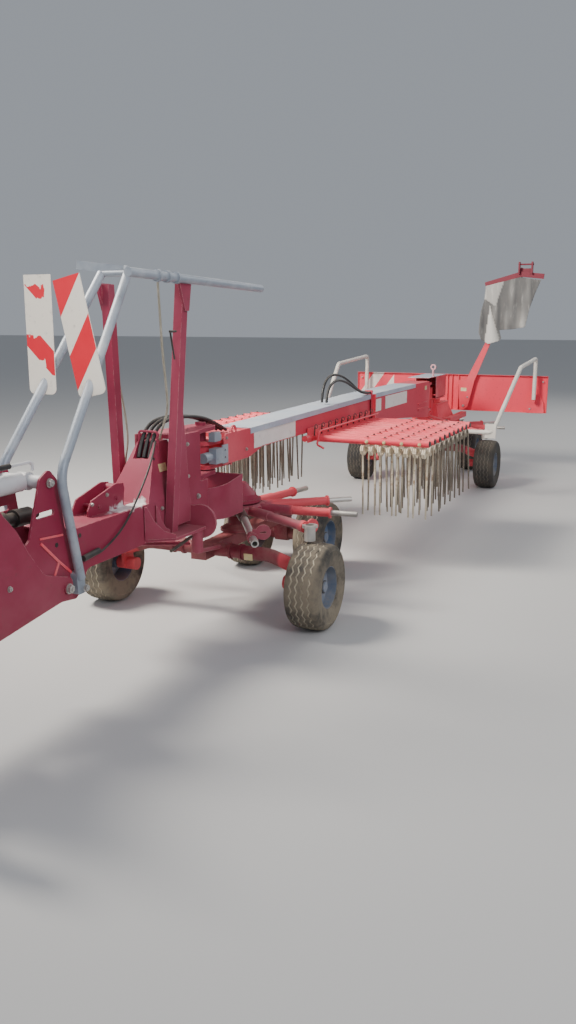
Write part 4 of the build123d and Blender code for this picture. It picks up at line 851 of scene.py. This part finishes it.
def tine_pair(tines):
    """Two coils with their legs and the wire that joins them, about the coils' middle."""
    bm = bmesh.new()
    for side in (-1, 1):
        start = Matrix.Translation((0, side * COIL_GAP, tines.coil)) @ Matrix.Rotation(math.pi / 2, 4, "Y")
        profile = bmesh.ops.create_circle(bm, segments=5, radius=tines.wire, matrix=start)["verts"]
        edges = edges_of(profile)
        made = bmesh.ops.spin(bm, geom=profile + edges, cent=(0, 0, 0), axis=SIDE,
                              dvec=(0, side * COIL_LENGTH / COIL_STEPS, 0), angle=-math.tau * COIL_TURNS,
                              steps=COIL_STEPS, use_merge=False, use_duplicate=False)
        last = [item for item in made["geom_last"] if isinstance(item, bmesh.types.BMEdge)]
        for drop, shrink in LEG_TAPERS:
            made = bmesh.ops.extrude_edge_only(bm, edges=last)["geom"]
            verts = [item for item in made if isinstance(item, bmesh.types.BMVert)]
            last = [item for item in made if isinstance(item, bmesh.types.BMEdge)]
            centre = sum((vert.co for vert in verts), Vector()) / len(verts)
            bmesh.ops.scale(bm, vec=(shrink, shrink, 1), verts=verts, space=Matrix.Translation(-centre))
            bmesh.ops.translate(bm, vec=(0, 0, -tines.length * drop), verts=verts)
        for ends in (last, edges):
            bmesh.ops.holes_fill(bm, edges=ends, sides=0)
    add_round(bm, Vector((0, 0, tines.coil)), SIDE, tines.wire, 0.026, 6)
    return bm


class RAKE_OT_tines(bpy.types.Operator):
    """Coiled spring tines under the stowed arms"""

    bl_idname = "rake.tines"
    bl_label = "Tines"

    def execute(self, context):
        tines = context.scene.rake_tines
        pattern = tine_pair(tines)
        height = ARM_UNDERSIDE - tines.coil - tines.wire
        draw = random.Random(7)
        for side, word in ((1, "left"), (-1, "right")):
            bm = bmesh.new()
            for x in ARM_PLACES:
                for middle in TINE_MIDDLES:
                    lean = math.radians(draw.uniform(0.8, 4.6))
                    splay = math.radians(draw.uniform(-1.2, 2.4))
                    turn = Matrix.Rotation(lean, 4, "Y") @ Matrix.Rotation(side * splay, 4, "X")
                    join(bm, pattern, Matrix.Translation(place(x, side * middle, height)) @ turn)
            piece = make_piece("spring_tines_" + word, bm, "beam", "tine_steel")
            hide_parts("tines_" + word)
        pattern.free()
        return {"FINISHED"}


# Corners of a clip about the arm's top, side and height of the lynch pins, place and height of the nuts
CLIP_LOW = Vector((-0.013, -0.016, -0.0035))
CLIP_HIGH = Vector((0.013, 0.016, 0.0012))
PIN_SIDE, PIN_HEIGHT = 0.112, 0.775
NUT_PLACE, NUT_HEIGHT = ARM_PLACES[0] + 0.0195, 0.732


class RAKE_OT_arms(bpy.types.Operator):
    """Bolts, clips, plugs and lynch pins of the stowed arms and their racks"""

    bl_idname = "rake.arms"
    bl_label = "Arm fittings"

    def execute(self, context):
        clips = bmesh.new()
        bolts = bmesh.new()
        nuts = bmesh.new()
        for side in BOTH:
            for x in ARM_PLACES:
                for middle in TINE_MIDDLES:
                    top = place(x, side * middle, ARM_TOP)
                    add_block(clips, top + CLIP_LOW, top + CLIP_HIGH, 0.0012)
                    # Bolt heads on the arms' tops, their dark colour painted shade.
                    add_bolt(bolts, top + Vector((0, 0, 0.001)), UP, 0.0075)
                # End plugs on the arms, their dark colour painted shade of the arms' ends.
                plug = place(x, side * (ARM_END + 0.002), ARM_MIDDLE)
                add_round(bolts, plug, (0, side, 0), 0.0165, 0.008, top=0.014)
                pin = place(x + 0.004, side * PIN_SIDE, PIN_HEIGHT)
                add_round(bolts, pin, (0.06, 0.1 * side, 1), 0.0042, 0.056, 8)
                loop = pin + Vector((0.002, side * 0.010, 0.027))
                add_ring(bolts, loop, (0.5, side, 0.15), 0.0115, 0.0022, 14, 5)
            for middle in TINE_MIDDLES:
                add_bolt(nuts, place(NUT_PLACE, side * middle, NUT_HEIGHT), AHEAD, 0.0100)
        # The clips take the bright red: painted sunlight.
        make_piece("arm_clips", clips, "beam", "bright")
        make_piece("arm_nuts", nuts, "beam", "yellow_plate")
        make_piece("arm_bolts", bolts, "beam", "dark_steel")
        return {"FINISHED"}


# Bolts of each body as place, half width across the head, way they face and sides that have one
BOLTS = {
    "beam": [
        ((-0.090, 0.088, 0.860), 0.008, SIDE, LEFT), ((-0.300, 0.088, 0.780), 0.009, SIDE, LEFT),
        ((-2.262, 0.096, 0.855), 0.008, SIDE, LEFT), ((-2.262, 0.096, 0.760), 0.008, SIDE, LEFT),
    ],
    "chassis": [
        ((1.120, 0.1455, 0.469), 0.013, SIDE, BOTH), ((1.187, 0.124, 0.481), 0.018, SIDE, BOTH),
        ((1.240, 0.106, 0.866), 0.016, SIDE, BOTH), ((0.214, 0.100, 0.637), 0.012, SIDE, LEFT),
        ((0.905, 0.030, 0.722), 0.008, SIDE, LEFT), ((0.806, 0.030, 0.742), 0.008, SIDE, LEFT),
        ((0.520, 0.100, 0.640), 0.009, SIDE, LEFT), ((0.300, 0.100, 0.880), 0.009, SIDE, LEFT),
        ((0.300, 0.100, 0.740), 0.009, SIDE, LEFT),
    ],
    "headstock": [
        ((1.625, 0.128, 0.866), 0.015, SIDE, BOTH), ((1.480, 0.116, 0.560), 0.010, SIDE, LEFT),
        ((1.560, 0.116, 0.640), 0.010, SIDE, LEFT),
    ],
    "rear_carriage": [
        ((-4.830, 0.868, 0.848), 0.008, AHEAD, BOTH), ((-4.830, 0.760, 0.600), 0.009, AHEAD, BOTH),
        ((-3.314, 0.665, 0.545), 0.009, AHEAD, BOTH),
    ],
    "swath_arm": [
        ((-4.800, 0.150, 0.610), 0.012, AHEAD, LEFT), ((-4.800, 0.186, 0.690), 0.008, AHEAD, LEFT),
    ],
}


class RAKE_OT_bolts(bpy.types.Operator):
    """Bolts, nuts and washers on every body"""

    bl_idname = "rake.bolts"
    bl_label = "Bolts"

    def execute(self, context):
        for body, rows in BOLTS.items():
            bm = bmesh.new()
            for (x, y, z), size, facing, sides in rows:
                for side in sides:
                    add_bolt(bm, place(x, side * y, z), (facing[0], side * facing[1], 0), size)
            make_piece(body + "_bolt_heads", bm, body, "bright_steel")
        return {"FINISHED"}


# Blank plates as name, body, finish, low corner and high corner, and their thicknesses
PLATE = 0.0015
LABEL = 0.0012
PLATES = [
    ("beam_plate_left", "beam", "white_plate",
     (-0.935, BEAM_SIDE, 0.772), (-0.350, BEAM_SIDE + PLATE, 0.864)),
    ("beam_plate_right", "beam", "white_plate",
     (-0.935, -BEAM_SIDE - PLATE, 0.772), (-0.390, -BEAM_SIDE, 0.864)),
    ("beam_plate_front", "beam", "white_plate", (-0.4835, 0.088, 0.772), (-0.388, 0.088 + PLATE, 0.864)),
    ("box_plate_left", "beam", "white_plate", (-3.114, BOX_SIDE, 0.776), (-2.569, BOX_SIDE + PLATE, 0.867)),
    ("box_plate_right", "beam", "white_plate",
     (-3.114, -BOX_SIDE - PLATE, 0.776), (-2.569, -BOX_SIDE, 0.867)),
    ("box_label", "beam", "white_plate", (-2.471, BOX_SIDE, 0.775), (-2.321, BOX_SIDE + LABEL, 0.862)),
    ("box_end_label", "beam", "yellow_plate", (-3.700, BOX_SIDE, 0.835), (-3.640, BOX_SIDE + LABEL, 0.868)),
    ("arm_label", "swath_arm", "yellow_plate", (-4.800, 0.122, 0.745), (-4.800 + LABEL, 0.176, 0.778)),
]


class RAKE_OT_plates(bpy.types.Operator):
    """Blank plates and labels"""

    bl_idname = "rake.plates"
    bl_label = "Plates"

    def execute(self, context):
        for name, body, word, low, high in PLATES:
            bm = bmesh.new()
            add_block(bm, place(*low), place(*high), 0.0004)
            make_piece(name, bm, body, word)
        return {"FINISHED"}


# Flat strips of each piece: body, finish, and rows of start, end, width, thickness and facing
STRIPS = {
    # The box's flange and ribs take the bright red: painted sunlight.
    "box_flange": ("beam", "bright", [
        ((-2.256, 0.098, 0.742), (-2.256, 0.098, 0.903), 0.036, 0.012, AHEAD)]),
    "box_ribs": ("beam", "bright", [
        ((-3.427, 0.0875, 0.740), (-3.695, 0.0875, 0.729), 0.010, 0.005, SIDE),
        ((-3.432, 0.0875, 0.699), (-3.700, 0.0875, 0.688), 0.010, 0.005, SIDE)]),
    "carriage_label": ("chassis", "yellow_plate", [
        ((-0.0165, 0.2100, 0.3125), (-0.0165, 0.2550, 0.3125), 0.032, LABEL, (0.95, 0, -0.15))]),
    # Edge strips on the frame's side take the bright red: a painted highlight along the plate edges.
    "frame_edges": ("chassis", "bright", [
        ((1.297, 0.1015, 0.666), (1.211, 0.1015, 0.585), 0.009, 0.005, SIDE),
        ((1.211, 0.1015, 0.585), (1.132, 0.1015, 0.518), 0.009, 0.005, SIDE),
        ((1.132, 0.1015, 0.518), (1.082, 0.1015, 0.462), 0.009, 0.005, SIDE),
        ((1.205, 0.1015, 0.584), (1.249, 0.1015, 0.512), 0.008, 0.004, SIDE),
        ((1.300, 0.1015, 0.683), (1.178, 0.1015, 0.672), 0.007, 0.004, SIDE)]),
    "tower_label": ("chassis", "yellow_plate", [
        ((0.4845, 0.0690, 0.8006), (0.4262, 0.0690, 0.8006), 0.034, LABEL, (0, 0.969, 0.247))]),
}
# Round bars of each piece: body, finish, and rows of start, end and radius
RODS = {
    "barrel_eye": ("lift_barrel", "cylinder_paint", [
        ((1.240, -0.092, 0.866), (1.240, 0.092, 0.866), 0.0240)]),
    "board_cord_rod": ("chassis", "dark_steel", [
        ((0.584, 0.200, 1.365), (0.555, 0.200, 1.253), 0.0036),
        ((0.587, 0.200, 1.361), (0.540, 0.200, 1.361), 0.0045)]),
    # Dark discs that stand for holes in the frame's side: painted shade.
    "frame_holes": ("chassis", "dark_steel", [
        ((1.213, 0.098, 0.643), (1.213, 0.1012, 0.643), 0.0085),
        ((1.081, 0.098, 0.648), (1.081, 0.1012, 0.648), 0.0085)]),
    "latch_rod": ("chassis", "dark_steel", [((0.573, 0.170, 0.476), (0.403, 0.170, 0.499), 0.0070)]),
    "lift_pipe_sleeve": ("lift_barrel", "black_hose", [((1.310, 0, 0.9263), (1.490, 0, 0.9263), 0.0100)]),
    "side_plug": ("chassis", "black_hose", [((1.079, 0.110, 0.562), (0.985, 0.110, 0.571), 0.0115)]),
    # A dark disc that stands for a hole in the tower: painted shade.
    "tower_hole": ("chassis", "dark_steel", [((0.5045, 0.0570, 0.8413), (0.5045, 0.0588, 0.8418), 0.0070)]),
}


class RAKE_OT_fittings(bpy.types.Operator):
    """Weld strips, ribs, labels, plugs and rods"""

    bl_idname = "rake.fittings"
    bl_label = "Small fittings"

    def execute(self, context):
        for table, add in ((STRIPS, add_strip), (RODS, add_rod)):
            for name, (body, word, rows) in table.items():
                bm = bmesh.new()
                for row in rows:
                    add(bm, *row)
                make_piece(name, bm, body, word)
        return {"FINISHED"}


# Outline across and up of the cloth as it hangs, its distance back, relief, thickness and mesh width
CLOTH_OUTLINE = [(0.321, 1.702), (0.313, 1.592), (0.285, 1.474), (0.276, 1.369), (0.273, 1.289),
                 (0.296, 1.223), (0.366, 1.184), (0.458, 1.211), (0.477, 1.238), (0.456, 1.310),
                 (0.572, 1.317), (0.688, 1.337), (0.718, 1.498), (0.762, 1.639), (0.806, 1.746),
                 (0.625, 1.774)]
CLOTH_X = -4.777
CLOTH_RELIEF = 0.018
CLOTH_THICKNESS = 0.0022
CLOTH_GRID = 0.009
# Rolled flap: its top and foot across and up, and its half width at the foot
FLAP_TOP = (0.363, 1.526)
FLAP_FOOT = (0.400, 1.200)
FLAP_HALF = 0.072
# Turned-over corner: the lower end of its edge and the edge's lean across
CORNER = (0.416, 1.519)
CORNER_LEAN = 0.062 / 0.213


def share_of(value):
    """A value kept between 0 and 1."""
    return min(1.0, max(0.0, value))


def cloth_fold(y, z):
    """How far forward the cloth stands, from -1 to 1, and how pale it is."""
    drop = (FLAP_TOP[1] - z) / (FLAP_TOP[1] - FLAP_FOOT[1])
    if drop > 0:
        middle = FLAP_TOP[0] + (FLAP_FOOT[0] - FLAP_TOP[0]) * drop
        across = (y - middle) / (FLAP_HALF * drop)
        if abs(across) < 1:
            return -0.8 + 1.8 * min(1.0, drop) * math.sqrt(1 - across * across), 1.0 - 0.5 * max(0.0, across)
    pleat = 0.65 * math.sin(46 * y - 3 * z) + 0.25 * math.sin(83 * y + 7 * z) + 0.2 * math.sin(25 * z + 8 * y)
    over = y < CORNER[0] + (z - CORNER[1]) * CORNER_LEAN
    if over and z > CORNER[1] + (CORNER[0] - y) * 0.67:
        return 0.25 + 0.25 * pleat, 0.62
    pale = 0.10 + 0.20 * max(0.0, pleat) + 0.35 * share_of((y - 0.56) * 8) * share_of((1.56 - z) * 5)
    return pleat * (0.25 + 0.75 * share_of((1.75 - z) / 0.45)), pale


class RAKE_OT_cloth(bpy.types.Operator):
    """Swath cloth that hangs in folds from its bar"""

    bl_idname = "rake.cloth"
    bl_label = "Swath cloth"

    def execute(self, context):
        bm = bmesh.new()
        ring = [bm.verts.new(place(CLOTH_X, y, z)) for y, z in CLOTH_OUTLINE]
        bm.faces.new(ring)
        low, high = min(vert.co.z for vert in ring), max(vert.co.z for vert in ring)
        left, right = min(vert.co.y for vert in ring), max(vert.co.y for vert in ring)
        for axis, start, stop in ((Vector(SIDE), left, right), (Vector(UP), low, high)):
            cuts = round((stop - start) / CLOTH_GRID)
            for index in range(1, cuts):
                spot = axis * (start + (stop - start) * index / cuts)
                bmesh.ops.bisect_plane(bm, geom=bm.verts[:] + bm.edges[:] + bm.faces[:], dist=0.00001,
                                       plane_co=spot, plane_no=axis)
        bmesh.ops.triangulate(bm, faces=[face for face in bm.faces if len(face.verts) > 4])
        layer = bm.loops.layers.uv.new("UVMap")
        for face in bm.faces:
            for loop in face.loops:
                loop[layer].uv = loop.vert.co.yz
        pale = bm.verts.layers.float.new("pale")
        for vert in bm.verts:
            fold, vert[pale] = cloth_fold(vert.co.y, vert.co.z)
            vert.co.x += CLOTH_RELIEF * fold
        area = sum(face.calc_area() for face in bm.faces)
        piece = make_piece("swath_cloth_sheet", bm, "swath_arm", "cloth", smooth=math.radians(80),
                           outward=False)
        wall = piece.modifiers.new("Thickness", "SOLIDIFY")
        wall.thickness = CLOTH_THICKNESS
        wall.offset = 0.0
        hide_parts("swath_cloth")
        return {"FINISHED"}


# Lamps as name, kind, place, what each lights, watts, colour and the light's own settings
MIDDLE = (-0.3, 0.0, 0.5)
REAR = (-2.8, 0.0, 0.8)
BOARDS = (2.55, 0.0, 1.38)
LAMPS = [
    ("Key", "AREA", (5.5, 6.5, 5.0), MIDDLE, 300.0, (0.97, 0.97, 1.0), {"size": 3.0}),
    ("Fill", "AREA", (8.0, -7.0, 4.5), MIDDLE, 120.0, (0.90, 0.95, 1.0), {"size": 5.0}),
    ("Rear key", "AREA", (2.2, -2.5, 4.2), REAR, 560.0, (1.0, 0.93, 0.82), {"size": 1.6}),
    ("Back", "AREA", (-9.0, 3.0, 6.0), MIDDLE, 260.0, (1.0, 0.97, 0.92), {"size": 5.0}),
    ("Board light", "SPOT", (4.6, 1.2, 2.3), BOARDS, 170.0, (1.0, 0.95, 0.86),
     {"spot_size": math.radians(19), "spot_blend": 0.6, "shadow_soft_size": 0.15}),
]
SKY = (0.80, 0.86, 0.95)
SKY_STRENGTH = 0.40
FLOOR_SIZE = 60.0


def set_up(name, data, spot, look):
    """Put a camera or a lamp in the scene at a place, looking along a direction."""
    thing = new_object(name, data)
    thing.location = spot
    thing.rotation_mode = "QUATERNION"
    thing.rotation_quaternion = look.to_track_quat("-Z", "Y")
    return thing


class RAKE_OT_stage(bpy.types.Operator):
    """Camera, floor and soft studio light"""

    bl_idname = "rake.stage"
    bl_label = "Stage"

    def execute(self, context):
        stage = context.scene.rake_stage
        camera = bpy.data.cameras.new("Camera")
        camera.lens = stage.camera_lens
        camera.sensor_width = 36.0
        camera.clip_end = 200.0
        level = Vector(stage.camera_heading).normalized()
        look = level * math.cos(stage.camera_pitch) - Vector((0, 0, math.sin(stage.camera_pitch)))
        context.scene.camera = set_up("Camera", camera, stage.camera_place, look)
        bm = bmesh.new()
        bmesh.ops.create_grid(bm, x_segments=1, y_segments=1, size=FLOOR_SIZE)
        mesh = bpy.data.meshes.new("Floor")
        bm.to_mesh(mesh)
        bm.free()
        floor = new_object("Floor", mesh)
        material = bpy.data.materials.new("Floor")
        material.use_nodes = True
        base = material.node_tree.nodes["Principled BSDF"]
        base.inputs["Base Color"].default_value = (*stage.floor, 1.0)
        base.inputs["Roughness"].default_value = 0.9
        mesh.materials.append(material)
        world = bpy.data.worlds.new("Studio")
        context.scene.world = world
        world.use_nodes = True
        sky = world.node_tree.nodes["Background"]
        sky.inputs["Color"].default_value = (*SKY, 1.0)
        sky.inputs["Strength"].default_value = SKY_STRENGTH
        for name, kind, spot, target, power, tone, settings in LAMPS:
            lamp = bpy.data.lights.new(name, kind)
            lamp.energy = power
            lamp.color = tone
            for key, value in settings.items():
                setattr(lamp, key, value)
            set_up(name, lamp, spot, Vector(target) - Vector(spot))
        return {"FINISHED"}


OPERATORS = (RAKE_OT_stage, RAKE_OT_cords, RAKE_OT_finishes, RAKE_OT_wheels, RAKE_OT_tines, RAKE_OT_arms,
             RAKE_OT_bolts, RAKE_OT_plates, RAKE_OT_fittings, RAKE_OT_cloth)
GROUPS = (("Paint", "rake_paint", RakePaint), ("Wheels", "rake_wheels", RakeWheels),
          ("Tines", "rake_tines", RakeTines), ("Stage", "rake_stage", RakeStage))


class RAKE_PT_panel(bpy.types.Panel):
    """Sizes, colours and steps of the rake"""

    bl_idname = "RAKE_PT_panel"
    bl_label = "Rotary rake"
    bl_space_type = "VIEW_3D"
    bl_region_type = "UI"
    bl_category = "Rake"

    def draw(self, context):
        for title, name, kind in GROUPS:
            box = self.layout.box()
            box.label(text=title)
            for setting in kind.__annotations__:
                box.prop(getattr(context.scene, name), setting)
        for operator in OPERATORS:
            self.layout.operator(operator.bl_idname)


CLASSES = (*(kind for title, name, kind in GROUPS), *OPERATORS, RAKE_PT_panel)


def register():
    for item in CLASSES:
        bpy.utils.register_class(item)
    for title, name, kind in GROUPS:
        setattr(bpy.types.Scene, name, PointerProperty(type=kind))


def unregister():
    for title, name, kind in GROUPS:
        delattr(bpy.types.Scene, name)
    for item in reversed(CLASSES):
        bpy.utils.unregister_class(item)


def main():
    register()
    bpy.ops.rake.stage()
    bpy.ops.rake.cords()
    bpy.ops.rake.finishes()
    bpy.ops.rake.wheels()
    bpy.ops.rake.tines()
    bpy.ops.rake.arms()
    bpy.ops.rake.bolts()
    bpy.ops.rake.plates()
    bpy.ops.rake.fittings()
    bpy.ops.rake.cloth()


if __name__ == "__main__":
    main()
